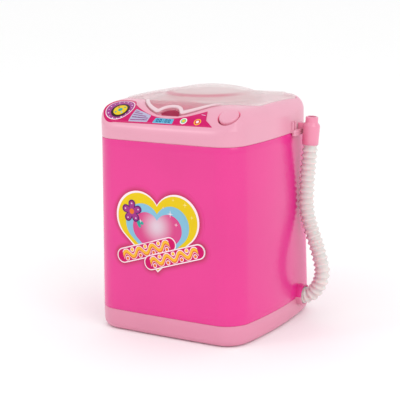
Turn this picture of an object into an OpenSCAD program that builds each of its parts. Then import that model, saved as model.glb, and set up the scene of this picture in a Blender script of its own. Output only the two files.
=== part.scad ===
// Toy top-loading washing machine: housing, lid, tub, drive, battery tray and drain hose.
// The foot stands on z = 0, the front faces -Y, the drain hose is on the right (+X) near the back.

/* [Housing] */
// Width of the body shell at its foot
body_w = 109.5; // [106:0.5:116]
// Depth of the body shell at its foot, front to back
body_d = 105; // [103:0.5:112]
// Height of the body shell between its two seams
body_h = 107; // [105:1:120]
// Height of the light band at the foot
base_h = 13.5; // [12.5:0.5:16]
// Radius of the upright corners
corner_r = 16.5; // [14:0.5:18]
// Bow of the two side walls at their middle
side_bow = 2.6; // [1.5:0.1:3.5]
// Bow of the front and back walls at their middle
front_bow = 0.35; // [0.2:0.05:0.8]
// How far each side wall leans in from foot to top
side_draft = 1.2; // [0.6:0.1:1.6]
// How far the front and back walls lean in from foot to top
front_draft = 2.6; // [1.6:0.1:2.8]
// Wall thickness of body shell and base tray
wall = 2; // [1.6:0.1:2.4]
// Radius of the rounded edge at the foot
base_edge_r = 4.7; // [3:0.1:5]
// Floor thickness of the base tray
floor_t = 3; // [2.8:0.1:3.6]

/* [Top frame] */
// Height of the flat top above the upper seam
frame_h = 21; // [20:0.5:26]
// Radius of the arched control slope, seen from the side
slope_r = 32; // [30:0.5:34]
// Distance from the front face back to where the slope meets the flat top
slope_run = 26.4; // [26:0.2:27]
// Radius of the small edge between front face and slope
lip_r = 5; // [4:0.5:6]
// Radius of the rounded top edge at the sides and the back
rim_round = 9.5; // [8:0.5:10]
// Side wall thickness of the top frame
frame_wall = 2.2; // [1.8:0.1:2.4]
// Thickness of the frame's deck
deck_t = 4.2; // [4:0.1:4.6]

/* [Lid] */
// Distance of the lid's side edge from the housing's side
lid_side = 6.55; // [6:0.05:8.5]
// Half width of the round lobe at the lid's front
lobe_half_w = 26; // [25:0.5:26.5]
// Distance from the front face back to the lobe's front edge
lobe_inset = 7.9; // [7.8:0.1:8.5]
// Radius of the lobe's round front
lobe_r = 28.3; // [27:0.1:30]
// Depth of the step in the frame that the lid lies in
recess_d = 1.6; // [1.4:0.1:2]
// How far the lid stands proud of the frame
lid_proud = 0.8; // [0.4:0.1:1.2]
// Gap between the lid and the frame around and under it
lid_gap = 0.3; // [0.3:0.05:0.5]
// Radius of the dome's foot circle
dome_r = 34; // [30:0.5:34.5]
// Height of the dome above the lid's plate
dome_h = 6.8; // [4:0.1:9]
// Radius of the finger arch in the lid's front edge
arch_r = 7.5; // [6:0.1:8]
// Depth of the finger arch
arch_d = 7; // [6.5:0.1:7.5]
// Radius of the lid's hinge pins
pin_r = 1.5; // [1.2:0.1:1.6]
// Radius of the hinge barrel between the pins
barrel_r = 2.6; // [2.4:0.1:2.8]
// Distance of the hinge barrel's ends from the lid's side edges
barrel_inset = 11; // [10:0.5:16]

/* [Tub and drive] */
// Inner radius of the wash tub
tub_r = 36; // [34:0.5:36.5]
// Wall thickness of the wash tub
tub_wall = 1.8; // [1.4:0.1:2.2]
// Inner depth of the wash tub
tub_depth = 62; // [50:1:64]
// Thickness of the tub's floor and of its flange
tub_floor_t = 2; // [1.6:0.1:2.4]
// Width of the flange around the tub's rim
flange_w = 3.2; // [2.4:0.1:3.4]
// Radius of the pulsator disc
pulsator_r = 30; // [26:0.5:32]
// Number of vanes on the pulsator
vane_count = 6; // [3:1:8]
// Height of the vanes above the disc
vane_h = 5; // [3:0.5:8]
// Radius of the drive shaft
shaft_r = 2; // [1.6:0.1:2.2]
// Running clearance of shafts in their holes
run_gap = 0.05; // [0.03:0.01:0.08]
// Gear module
gear_m = 0.8; // [0.76:0.01:0.82]
// Face width of each gear step
gear_w = 3.8; // [3.4:0.1:4]
// Thickness of the gearbox plates
plate_t = 2.4; // [2:0.1:2.8]
// Radius of the three gearbox posts
post_r = 3.2; // [2.8:0.1:3.3]
// Length of the motor can
motor_len = 25; // [20:0.5:25.5]
// Width of the motor can
motor_w = 20; // [18:0.5:20.5]
// Thickness of the motor can across its flats
motor_t = 15; // [13:0.5:15.5]

/* [Button] */
// Distance from the housing's side in to the button's middle
button_side = 13.35; // [13:0.05:14.5]
// Distance from the front face back to the button's middle
button_inset = 10.9; // [10.5:0.1:11.5]
// Radius of the push button
button_r = 6.2; // [5:0.1:6.3]
// How far the button stands out of the slope
button_out = 1.4; // [1:0.1:2]
// Travel of the push button
button_travel = 2; // [1:0.1:2.2]
// Clearance around the button in its hole
button_gap = 0.3; // [0.25:0.05:0.4]

/* [Battery] */
// Radius of one cell
cell_r = 7.15; // [7:0.05:7.25]
// Length of one cell
cell_len = 50.5; // [49:0.5:50.5]
// Thickness of the battery door
door_t = 1.6; // [1.4:0.1:1.7]

/* [Drain] */
// Radius of the corrugated hose
hose_r = 5; // [4.6:0.1:5.1]
// Outer radius of the drain elbow
elbow_r = 4; // [3.6:0.1:4.2]
// Wall thickness of drain elbow and drain tube
elbow_wall = 1; // [0.8:0.1:1.2]
// Radius of the hose nozzle
nozzle_r = 5.1; // [5:0.05:5.15]
// Length of the hose nozzle's wide part
nozzle_len = 13; // [11:0.5:13.5]

/* [Labels] */
// Thickness of the printed labels
label_t = 0.25; // [0.2:0.05:0.3]
// Radius of the panel label's round end
dial_r = 10.2; // [9:0.1:10.4]
// Width of the heart label
heart_w = 59; // [50:0.5:62]

/* [Hidden] */
$fn = 64;
eps = 0.01;      // overlap that keeps cuts clean
reach = 400;     // longer than anything in the model
steps = 7;       // segments of a corner arc in the outline

// ---- fixed choices: gear teeth, and the drain's places that the hose route is laid for
output_teeth = 42;
large_teeth = 40;
small_teeth = 10;
pinion_teeth = 10;
outlet_y = 25.5;        // plane of outlet, hose and nozzle
outlet_rise = 1.2;      // height of the outlet above the lower seam
nozzle_tilt = 4;        // lean of the nozzle away from the housing, in degrees

// ---- colours
hot_pink = [0.93, 0.30, 0.60];
light_pink = [0.94, 0.70, 0.78];
milky = [0.90, 0.86, 0.86, 0.6];
steel = [0.75, 0.76, 0.78];

// ---- derived heights and half sizes
seam_z = base_h + body_h;
rim_z = seam_z + frame_h;
foot_hw = body_w / 2;
foot_hd = body_d / 2;
top_hw = foot_hw - side_draft;
top_hd = foot_hd - front_draft;
slope_y = -top_hd + slope_run;          // where the slope meets the flat top
fit_gap = 0.2;                          // clearance of pieces that only locate each other
seam_lip_h = 2.5;                       // height of the locating lips at both seams
seam_lip_t = 1.4;
screw_r = 1.1;                          // shank of the self-tapping screws
head_r = 2.2;
head_h = 1.6;

// ---- plan outline: four corner arcs joined by four bowed sides, all tangent
function arc(cx, cy, r, a0, a1, n) =
    [for (i = [0:n]) let (a = a0 + (a1 - a0) * i / n) [cx + r * cos(a), cy + r * sin(a)]];
function bow_radius(c, b) = (b * b + c * c) / (2 * b);
function quarter(hw, hd, r) =
    let (cx = hw - r - side_bow, cy = hd - r - front_bow,
         sr = bow_radius(cy, side_bow), fr = bow_radius(cx, front_bow),
         a = atan2(cy, sr - side_bow), b = atan2(cx, fr - front_bow))
    concat(arc(hw - sr - r, 0, sr + r, 0, a, 5),
           [for (i = [1:steps]) let (t = a + (90 - b - a) * i / steps) [cx + r * cos(t), cy + r * sin(t)]],
           [for (i = [1:3]) let (t = 90 - b + b * i / 3) [(fr + r) * cos(t), hd - fr - r + (fr + r) * sin(t)]]);
function reversed(p) = [for (i = [len(p) - 1:-1:0]) p[i]];
function inner(p) = [for (i = [1:len(p) - 2]) p[i]];
function outline(hw, hd, r) =
    let (q = quarter(hw, hd, r))
    concat(q, [for (p = reversed(inner(q))) [-p[0], p[1]]],
           [for (p = q) [-p[0], -p[1]]], [for (p = reversed(inner(q))) [p[0], -p[1]]]);

module slice(g, z) {
    up = (z - base_h) / body_h;
    translate([0, 0, z]) linear_extrude(eps)
        polygon(outline(foot_hw - side_draft * up + g, foot_hd - front_draft * up + g, corner_r + g));
}

// The leaning body form, grown outwards by g and stretched by e beyond both seams
module body_form(g, e) hull() {
    slice(g, base_h - e);
    slice(g, seam_z + e - eps);
}

// A wall ring that follows the plan outline, from z to z + h
module ring(hw, hd, inset, t, z, h) translate([0, 0, z]) difference() {
    linear_extrude(h) polygon(outline(hw - inset, hd - inset, corner_r - inset));
    translate([0, 0, -eps]) linear_extrude(h + 2 * eps)
        polygon(outline(hw - inset - t, hd - inset - t, corner_r - inset - t));
}

module along_x(half) rotate([90, 0, 90]) translate([0, 0, -half]) linear_extrude(2 * half)
    children();
module along_y(half) rotate([90, 0, 0]) translate([0, 0, -half]) linear_extrude(2 * half)
    children();
module columns(places, z, h, r) for (p = places) translate([p[0], p[1], z]) cylinder(h = h, r = r);

// A screw that points up: its head below z, its shank above
module screw_up(z, l) {
    translate([0, 0, z - head_h]) cylinder(h = head_h, r = head_r);
    translate([0, 0, z]) cylinder(h = l, r = screw_r);
}

// ---- sweep of a round tube along points, closed at both ends
function unit(v) = v / norm(v);
function ring_at(p, t, ref, r, n) =
    let (u = unit(cross(t, ref)), w = unit(cross(u, t)))
    [for (k = [0:n - 1]) p + r * (cos(360 * k / n) * u + sin(360 * k / n) * w)];
module tube(path, refs, r, n) {
    m = len(path);
    pts = [for (i = [0:m - 1])
        let (t = unit(path[min(i + 1, m - 1)] - path[max(i - 1, 0)]))
        each ring_at(path[i], t, refs[min(i, len(refs) - 1)], r, n)];
    sides = [for (i = [0:m - 2]) for (k = [0:n - 1]) let (j = (k + 1) % n)
        [i * n + k, i * n + j, (i + 1) * n + j, (i + 1) * n + k]];
    polyhedron(pts, concat([[for (k = [n - 1:-1:0]) k]], sides,
                           [[for (k = [0:n - 1]) (m - 1) * n + k]]), convexity = 4);
}
// A coil spring on +Z from z0 to z1
module spring(z0, z1, r, wire_r, turns) {
    n = turns * 12;
    tube([for (i = [0:n]) [r * cos(30 * i), r * sin(30 * i), z0 + wire_r + (z1 - z0 - 2 * wire_r) * i / n]],
         [[0, 0, 1]], wire_r, 6);
}

// ---- top frame form: a rim-rounded plan crossed with the side profile
lip_y = -top_hd + lip_r;
lip_dz = sqrt(pow(slope_r - lip_r, 2) - pow(lip_y - slope_y, 2));
lip_a = atan2(lip_dz, lip_y - slope_y);
side_profile = concat(
    [[-top_hd - 5, seam_z - 1], [-top_hd - 5, rim_z - slope_r + lip_dz]],
    arc(lip_y, rim_z - slope_r + lip_dz, lip_r, 180, lip_a, 5),
    inner(arc(slope_y, rim_z - slope_r, slope_r, lip_a, 90, 12)),
    [[slope_y, rim_z], [top_hd + 5, rim_z], [top_hd + 5, seam_z - 1]]);
function slope_top(y) =
    y > slope_y ? rim_z : rim_z - slope_r + sqrt(slope_r * slope_r - pow(y - slope_y, 2));

// The frame's outer form, moved down by drop and with its walls moved in by inset
module frame_form(drop, inset) intersection() {
    stack(concat([[inset, seam_z - 1]],
        [for (a = [0:15:90]) [inset + rim_round * (1 - cos(a)), rim_z - drop - rim_round * (1 - sin(a))]]));
    translate([0, 0, -drop]) along_x(reach) polygon(side_profile);
}
// A closed solid through plan outlines, each given as [inset, z]
module stack(levels) {
    rings = [for (l = levels) outline(top_hw - l[0], top_hd - l[0], corner_r - l[0])];
    n = len(rings[0]);
    m = len(levels);
    polyhedron([for (i = [0:m - 1]) for (p = rings[i]) [p[0], p[1], levels[i][1]]],
        concat([[for (k = [0:n - 1]) k]], [for (i = [0:m - 2]) for (k = [0:n - 1]) let (j = (k + 1) % n)
                   [i * n + j, i * n + k, (i + 1) * n + k, (i + 1) * n + j]],
               [[for (k = [n - 1:-1:0]) (m - 1) * n + k]]), convexity = 4);
}

// ---- lid
lid_half_w = top_hw - lid_side;
barrel_len = 2 * (lid_half_w - barrel_inset);
lobe_y = -top_hd + lobe_inset;          // front edge of the lid's lobe
shoulder_y = slope_y + 5;               // front edge of the lid's plate beside the lobe
shoulder_d = 6;                         // the plate's edge slants into the lobe over this
hinge_y = top_hd - 7.9;
hinge_z = rim_z - 2.7;
trough_y = hinge_y + 4.2;               // back wall of the hinge trough
pin_half = barrel_len / 2 + 3.5;
lid_t = recess_d + lid_proud - lid_gap;
dome_y = hinge_y - dome_r - 0.5;
arch_y = lobe_y + arch_d - arch_r;
mouth_y = -top_hd + 11.9;               // front edge of the wash opening
mouth_half_w = 22.5;
mouth_r = 13.5;                         // radius of the opening's front corners
finger_w = 13;                          // notch in the opening's front edge, under the arch
finger_d = 1.5;

// Plan of the lid, grown outwards by g: a plate with a round-cornered lobe in front of it
module lid_plan(g) {
    side = [[lobe_half_w, shoulder_y - shoulder_d - 1.4 * g], [lobe_half_w + shoulder_d + 0.4 * g, shoulder_y - g],
            [lid_half_w - 3 + g / 2, shoulder_y - g],
            [lid_half_w + g, shoulder_y + 3 - g / 2], [lid_half_w + g, hinge_y - 6 + 2 * g],
            [barrel_len / 2 + g, hinge_y - 5 + 2 * g], [barrel_len / 2 + g, hinge_y]];
    polygon(concat(side, [for (p = reversed(side)) [-p[0], p[1]]]));
    lobe_plan(g);
}
module lobe_plan(g) intersection() {
    translate([0, lobe_y + lobe_r]) circle(lobe_r + g);
    translate([-lobe_half_w - g, lobe_y - g]) square([2 * (lobe_half_w + g), shoulder_y - lobe_y + 6]);
}

// Front part of the wash opening, above the front of the tub's flange
module mouth_plan() {
    for (s = [-1, 1]) translate([s * (mouth_half_w - mouth_r), mouth_y + mouth_r]) circle(mouth_r);
    translate([-mouth_half_w + mouth_r, mouth_y]) square([2 * (mouth_half_w - mouth_r), mouth_r]);
    translate([-mouth_half_w, mouth_y + mouth_r]) square([2 * mouth_half_w, 6]);
    translate([-finger_w / 2, mouth_y - finger_d]) square([finger_w, mouth_r]);
}
module hinge_bar(r, half) translate([-half, hinge_y, hinge_z]) rotate([0, 90, 0])
    cylinder(h = 2 * half, r = r);

module dome() {
    foot_z = rim_z + lid_proud;
    sphere_r = (dome_r * dome_r + dome_h * dome_h) / (2 * dome_h);
    translate([0, dome_y, foot_z + dome_h - sphere_r]) difference() {
        intersection() {
            sphere(sphere_r);
            translate([0, 0, sphere_r - dome_h - lid_t]) cylinder(h = reach, r = dome_r);
        }
        sphere(sphere_r - lid_t);
    }
}

module lid() color(milky) {
    difference() {
        intersection() {
            translate([0, 0, seam_z]) linear_extrude(frame_h + 9) lid_plan(0);
            frame_form(-lid_proud, -1);
        }
        frame_form(recess_d - lid_gap, -2);
        translate([0, dome_y, seam_z]) cylinder(h = reach, r = dome_r - lid_t);
        translate([0, arch_y, seam_z]) cylinder(h = reach, r = arch_r);
    }
    dome();
    hinge_bar(barrel_r, barrel_len / 2);
    hinge_bar(pin_r, pin_half);
}

// ---- places shared by frame, tub, body and screws
tub_y = 1.5;
tub_top_z = seam_z + 9.5;               // top of the tub's flange
tub_floor_z = tub_top_z - tub_depth;
flange_r = tub_r + tub_wall + flange_w;
ear_r = 4;
tub_screw_at = [for (a = [45, 135, -65, -115]) [(flange_r + ear_r) * cos(a), tub_y + (flange_r + ear_r) * sin(a)]];
frame_tab_z = seam_z - 3;               // top of the body's screw tabs
tab_t = 2.5;
front_tab_x = tub_screw_at[2][0] - 8;   // beside the tub's front screws
rear_tab = [top_hw - 9.5, top_hd - 14];
frame_screw_at = [for (s = [-1, 1]) each [[s * front_tab_x, -top_hd + 8], [s * rear_tab[0], rear_tab[1]]]];
base_screw_at = [for (x = [-1, 1], y = [-1, 1]) [x * (foot_hw - 12.25), y * (foot_hd - 14.5)]];
shank_up = 18;                          // length of the base screws
base_seat_z = 6;                        // seat of the base screws' heads

// ---- button: its own axis stands square to the slope
button_x = top_hw - button_side;
button_y = -top_hd + button_inset;
button_tilt = asin((slope_y - button_y) / slope_r);
button_deck = 4.8;                      // depth of the well's ceiling below the slope
well_r = 8.2;
well_d = 12;
module button_frame() translate([button_x, button_y, slope_top(button_y)])
    rotate([button_tilt, 0, 0]) children();

// ---- hose bracket on the frame's right wall, and the outlet below it
outlet_z = base_h + outlet_rise;
boss_x = foot_hw + 2.75;                // mouth of the outlet ring
hose_x = boss_x - 2;                    // end face of the hose inside the ring
shelf_z = seam_z - 1.7;
shelf_h = 3.4;
shelf_x = top_hw + 2.35;
root_x = top_hw - 3;                    // where the bracket grows out of the wall
shelf_w = 14;
shelf_y = outlet_y - 11;
notch = [top_hw - 0.65, outlet_y - 2.3, 1.7, 4.4];      // x, y, size along x and y
hook_t = 1.2;

module hose_bracket() {
    translate([root_x, shelf_y, seam_z]) cube([shelf_x - root_x, shelf_w, shelf_z + shelf_h - seam_z]);
    translate([top_hw, shelf_y, shelf_z]) cube([shelf_x - top_hw, shelf_w, shelf_h]);
    for (y = [shelf_y + 0.5, shelf_y + 4]) translate([root_x, y, shelf_z + shelf_h - eps])
        cube([shelf_x - root_x - 1.4, 1.5, 5]);
}
module bracket_notch() translate([notch[0], notch[1], shelf_z - 1]) cube([notch[2], notch[3], 10]);

module top_frame() color(light_pink) difference() {
    union() {
        difference() {
            intersection() {
                frame_form(0, 0);
                translate([-reach / 2, -reach / 2, seam_z]) cube(reach);
            }
            frame_form(deck_t, frame_wall);
        }
        ring(top_hw, top_hd, wall + fit_gap, seam_lip_t, seam_z - seam_lip_h, seam_lip_h + 3);
        ring(top_hw, top_hd, frame_wall - 0.5, seam_lip_t, seam_z, 3);
        intersection() {                                   // collar round the wash opening
            translate([0, tub_y, tub_top_z]) difference() {
                cylinder(h = frame_h, r = tub_r + tub_wall);
                translate([0, 0, -1]) cylinder(h = frame_h + 2, r = tub_r);
            }
            frame_form(recess_d + 1, 1);
        }
        intersection() {                                   // walls of the hinge trough
            translate([-pin_half - 2, hinge_y - barrel_r - 2.4, hinge_z - barrel_r - 2.4])
                cube([2 * pin_half + 4, top_hd - hinge_y + barrel_r + 1, 10]);
            frame_form(1, 1);
        }
        for (p = tub_screw_at) post(p, tub_top_z, 3);
        for (p = frame_screw_at) post(p, frame_tab_z, 3.2);
        intersection() {
            button_frame() translate([0, 0, -well_d]) cylinder(h = well_d - 2, r = well_r + 1.6);
            frame_form(1, 1);
        }
        hose_bracket();
    }
    translate([0, 0, tub_top_z - 1]) {
        translate([0, tub_y, 0]) cylinder(h = reach, r = tub_r);
        linear_extrude(reach) mouth_plan();
    }
    difference() {                                         // step that the lid lies in
        translate([0, 0, seam_z]) linear_extrude(frame_h + 9) lid_plan(lid_gap);
        frame_form(recess_d, -2);
    }
    translate([-barrel_len / 2 - lid_gap, hinge_y - barrel_r - 0.6, hinge_z - barrel_r - 0.4])
        cube([barrel_len + 2 * lid_gap, trough_y - hinge_y + barrel_r + 0.6, 20]);
    hinge_bar(pin_r + run_gap, pin_half + fit_gap);
    button_frame() {
        translate([0, 0, -well_d]) cylinder(h = well_d + 10, r = button_r + button_gap);
        translate([0, 0, -well_d - 6]) cylinder(h = well_d + 6 - button_deck, r = well_r);
        translate([0, 0, -0.6]) cylinder(h = 10, r = button_r + 1.4);
    }
    columns(tub_screw_at, tub_top_z - 1, 6, screw_r);
    columns(frame_screw_at, frame_tab_z - 1, 9, screw_r);
    bracket_notch();
}
// A screw post that hangs from the frame's deck down to z
module post(p, z, r) translate([p[0], p[1], z])
    cylinder(h = slope_top(p[1] - r) - deck_t / 2 - z, r = r);

// ---- body shell
module outlet_ring() translate([foot_hw - 2.75, outlet_y, outlet_z]) rotate([0, 90, 0])
    cylinder(h = 5.5, r = hose_r + 1.8);
module outlet_hole() translate([foot_hw - 15, outlet_y, outlet_z]) rotate([0, 90, 0])
    cylinder(h = 30, r = hose_r + 0.3);

module body_shell() color(hot_pink) difference() {
    union() {
        difference() {
            body_form(0, 0);
            body_form(-wall, 2);
        }
        intersection() {
            body_form(-wall / 2, -eps);
            union() {
                for (s = [-1, 1]) {
                    translate([s * front_tab_x - 4, -top_hd, frame_tab_z - tab_t]) cube([8, 12, tab_t]);
                    translate([s * (rear_tab[0] + 2) - 6, rear_tab[1] - 4, frame_tab_z - tab_t])
                        cube([12, 8, tab_t]);
                }
                columns(base_screw_at, base_h, 16, 3.6);
                for (p = base_screw_at)
                    translate([p[0] > 0 ? p[0] : p[0] - 20, p[1] - 0.8, base_h + seam_lip_h + 0.5])
                        cube([20, 1.6, 16 - seam_lip_h - 0.5]);
            }
        }
        intersection() {
            outlet_ring();
            translate([0, 0, base_h]) cube(reach);
        }
    }
    outlet_hole();
    columns(frame_screw_at, frame_tab_z - 5, 10, screw_r + fit_gap);
    columns(base_screw_at, base_h - 1, 13, screw_r);
}

// ---- base tray, battery bay and door
bay_y = -foot_hd + 31.5;
bay_w = cell_len + 7.5;
bay_d = 4 * cell_r + 3.4;
bay_wall = 1.6;
door_z = 0.2;
bay_top = door_z + door_t + 2 * cell_r + 1.4;
door_x0 = -bay_w / 2 - 2.5;
door_x1 = bay_w / 2 + 10;
door_screw_x = bay_w / 2 + 6;

function foot_profile(half, z0, r) = concat(
    arc(-half + r, z0 + r, r, 180, 270, 6), arc(half - r, z0 + r, r, 270, 360, 6),
    [[half + 1, z0 + r], [half + 1, base_h + 2], [-half - 1, base_h + 2], [-half - 1, z0 + r]]);
// Solid of the foot band, walls moved in by inset and floor moved up to z0
module base_form(inset, z0, top) intersection() {
    translate([0, 0, z0]) linear_extrude(top - z0)
        polygon(outline(foot_hw - inset, foot_hd - inset, corner_r - inset));
    along_x(reach) polygon(foot_profile(foot_hd - inset, z0, base_edge_r - inset));
    along_y(reach) polygon(foot_profile(foot_hw - inset, z0, base_edge_r - inset));
}
module bay(grow, z0, z1) translate([-bay_w / 2 - grow, bay_y - bay_d / 2 - grow, z0])
    cube([bay_w + 2 * grow, bay_d + 2 * grow, z1 - z0]);
module door_plate(grow, z0, z1) translate([door_x0 - grow, bay_y - bay_d / 2 - 2 - grow, z0])
    cube([door_x1 - door_x0 + 2 * grow, bay_d + 4 + 2 * grow, z1 - z0]);

module base_tray() color(light_pink) difference() {
    union() {
        difference() {
            base_form(0, 0, base_h);
            base_form(wall, floor_t, base_h + 1);
        }
        ring(foot_hw, foot_hd, wall + fit_gap, seam_lip_t, base_h - 3, seam_lip_h + 3);
        ring(foot_hw, foot_hd, wall - 0.5, seam_lip_t, base_h - 3, 3);
        bay(bay_wall, floor_t - 1, bay_top + bay_wall);
        columns(base_screw_at, floor_t - 1, base_h - floor_t + 1, 4.2);
        translate([door_screw_x, bay_y, floor_t - 1]) cylinder(h = 9, r = 3.2);
        intersection() {
            outlet_ring();
            translate([0, 0, base_h - reach]) cube(reach);
        }
    }
    bay(0, -1, bay_top);
    door_plate(fit_gap, -1, door_z + door_t);
    translate([door_screw_x, bay_y, -1]) cylinder(h = 10, r = screw_r);
    columns(base_screw_at, -1, base_seat_z + 1, head_r + 0.5);
    columns(base_screw_at, -1, reach, screw_r + fit_gap);
    outlet_hole();
}
module battery_door() color(light_pink) difference() {
    door_plate(0, door_z, door_z + door_t);
    translate([door_screw_x, bay_y, -1]) cylinder(h = 2.3, r = head_r + 0.2);
    translate([door_screw_x, bay_y, -1]) cylinder(h = 4, r = screw_r + fit_gap);
    for (x = [-12:4:12]) translate([x - 0.6, bay_y + bay_d / 2 - 8, -1]) cube([1.2, 8, 1.6]);
}
module battery_door_screw() color(steel) translate([door_screw_x, bay_y, 1.3]) {
    translate([0, 0, -0.9]) cylinder(h = 0.9, r = head_r);
    cylinder(h = 6.5, r = screw_r);
}
cell_at = [for (s = [-1, 1]) [bay_w / 2 - 0.5 - cell_len / 2, bay_y + s * (cell_r + 0.5), door_z + door_t + 0.3 + cell_r]];
module cells() color("goldenrod") for (i = [0, 1]) translate(cell_at[i])
    rotate([0, i == 0 ? 90 : -90, 0]) translate([0, 0, -cell_len / 2]) {
        cylinder(h = cell_len - 1.2, r = cell_r);
        translate([0, 0, cell_len - 1.2]) cylinder(h = 1.2, r = 2.7);
    }
coil_x = -bay_w / 2;
module coil_contacts() color(steel) for (p = cell_at) translate([coil_x, p[1], p[2]]) {
    translate([0, -cell_r + 2.6, -5]) cube([0.5, 2 * cell_r - 5.2, 11]);
    rotate([0, 90, 0]) spring(0.4, p[0] - cell_len / 2 - coil_x - 0.1, 3, 0.4, 3);
}
module plate_contact() color(steel)
    translate([bay_w / 2 - 0.5, bay_y - bay_d / 2 + 2, cell_at[0][2] - 5]) cube([0.5, bay_d - 4, 11]);

// ---- wash tub
hub_z = tub_floor_z - 8;                // underside of hub and posts, on the gearbox cover
bush_r = 4;
post_at = [[22, 0], [-10, -22.5], [-4, 24]];             // gearbox posts, seen from the shaft
drain_x = 22;
module on_shaft() translate([0, tub_y, 0]) children();

module wash_tub() color(hot_pink) difference() {
    union() {
        on_shaft() {
            translate([0, 0, tub_floor_z - tub_floor_t])
                cylinder(h = tub_depth + tub_floor_t, r = tub_r + tub_wall);
            translate([0, 0, tub_top_z - tub_floor_t]) cylinder(h = tub_floor_t, r = flange_r);
            translate([0, 0, hub_z]) cylinder(h = 8, r = 8);
            columns(post_at, hub_z, 8, post_r);
        }
        columns(tub_screw_at, tub_top_z - tub_floor_t, tub_floor_t, ear_r);
        for (p = tub_screw_at) let (a = atan2(p[1] - tub_y, p[0]))
            translate([0, tub_y, tub_top_z - tub_floor_t]) rotate([0, 0, a])
                translate([flange_r - 4, -ear_r, 0]) cube([ear_r + 4, 2 * ear_r, tub_floor_t]);
        translate([drain_x, outlet_y, hub_z]) cylinder(h = 7, r = elbow_r);
    }
    translate([0, tub_y, tub_floor_z]) cylinder(h = reach, r = tub_r);
    translate([0, tub_y, hub_z - 1]) cylinder(h = 20, r = bush_r);
    translate([drain_x, outlet_y, hub_z - 1]) cylinder(h = 20, r = elbow_r - elbow_wall);
    columns(tub_screw_at, tub_top_z - 5, 10, screw_r + fit_gap);
    on_shaft() columns(post_at, hub_z - 1, 6, screw_r);
}
module tub_screws() color(steel) for (p = tub_screw_at)
    translate([p[0], p[1], tub_top_z - tub_floor_t]) screw_up(0, 6.5);
module frame_screws() color(steel) for (p = frame_screw_at)
    translate([p[0], p[1], frame_tab_z - tab_t]) screw_up(0, 9);
module base_screws() color(steel) for (p = base_screw_at)
    translate([p[0], p[1], base_seat_z]) screw_up(0, shank_up);

// ---- pulsator and shaft
disc_z = tub_floor_z + 1;
pulsator_top = disc_z + 7.5;
module pulsator() color([0.97, 0.93, 0.94]) on_shaft() difference() {
    union() {
        translate([0, 0, disc_z]) rotate_extrude() polygon(concat(
            [[0, 0], [pulsator_r - 0.8, 0], [pulsator_r, 0.8], [pulsator_r, 2]],
            [for (i = [1:6]) [pulsator_r * (1 - i / 6), 2 + 3.5 * pow(i / 6, 2)]]));
        translate([0, 0, disc_z]) cylinder(h = pulsator_top - disc_z, r = 6);
        for (i = [0:vane_count - 1]) rotate([0, 0, 360 * i / vane_count])
            rotate([90, 0, 0]) translate([0, 0, -1.2]) linear_extrude(2.4) polygon([
                [4, disc_z + 1], [pulsator_r - 2, disc_z + 1], [pulsator_r - 3, disc_z + vane_h],
                [pulsator_r - 6, disc_z + 2 + vane_h * 0.8], [5, disc_z + 2 + vane_h]]);
    }
    translate([0, 0, disc_z - 1]) cylinder(h = pulsator_top - disc_z - 1, r = shaft_r);
    cylinder(h = reach, r = screw_r);
}
module pulsator_screw() color(steel) on_shaft() {
    translate([0, 0, pulsator_top]) cylinder(h = 1.4, r = 2.6);
    translate([0, 0, pulsator_top - 7]) cylinder(h = 7, r = screw_r);
}
module drive_shaft() color(steel) on_shaft() difference() {
    translate([0, 0, base_plate_z + 0.3]) cylinder(h = pulsator_top - 2 - base_plate_z - 0.3, r = shaft_r);
    translate([0, 0, pulsator_top - 7.5]) cylinder(h = 10, r = screw_r);
}
module sleeve(z, h) on_shaft() difference() {
    translate([0, 0, z]) cylinder(h = h, r = bush_r);
    translate([0, 0, z - 1]) cylinder(h = h + 2, r = shaft_r + run_gap);
}
module shaft_bush() color("goldenrod") sleeve(hub_z, 6.5);
module shaft_seal() color([0.2, 0.2, 0.2]) sleeve(hub_z + 6.5, tub_floor_z - hub_z - 6.5);

// ---- gear train: involute teeth with a little backlash
cover_z = hub_z - plate_t;              // underside of the upper plate
base_plate_z = cover_z - 2 * gear_w - 2 - plate_t;       // underside of the lower plate
low_gear_z = base_plate_z + plate_t + 1;
high_gear_z = low_gear_z + gear_w;
counter_at = [-gear_m * (output_teeth + small_teeth) / 2, 0];
motor_at = [counter_at[0], gear_m * (large_teeth + pinion_teeth) / 2];
axle_r = 1.5;
motor_shaft_r = 1;
pressure = 20;
tooth_share = 0.88;                     // share of half a pitch that a tooth fills

function tooth(n, out) =
    let (rp = gear_m * n / 2, rb = rp * cos(pressure), ra = rp + out * gear_m, rf = rp - 1.15 * gear_m,
         r0 = max(rb, rf) + eps, half = 90 / n * tooth_share + tan(pressure) * 180 / PI - pressure,
         flank = [for (i = [0:3]) let (r = r0 + (ra - r0) * i / 3, t = sqrt(pow(r / rb, 2) - 1))
                  [r, half - (t * 180 / PI - atan(t))]])
    concat([[rf, -flank[0][1]]], [for (f = flank) [f[0], -f[1]]],
           [for (f = reversed(flank)) f], [[rf, flank[0][1]]]);
module gear(n, out, phase, h) linear_extrude(h) polygon([for (i = [0:n - 1]) each
    [for (p = tooth(n, out)) let (a = p[1] + phase + 360 * i / n) [p[0] * cos(a), p[0] * sin(a)]]]);

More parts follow.
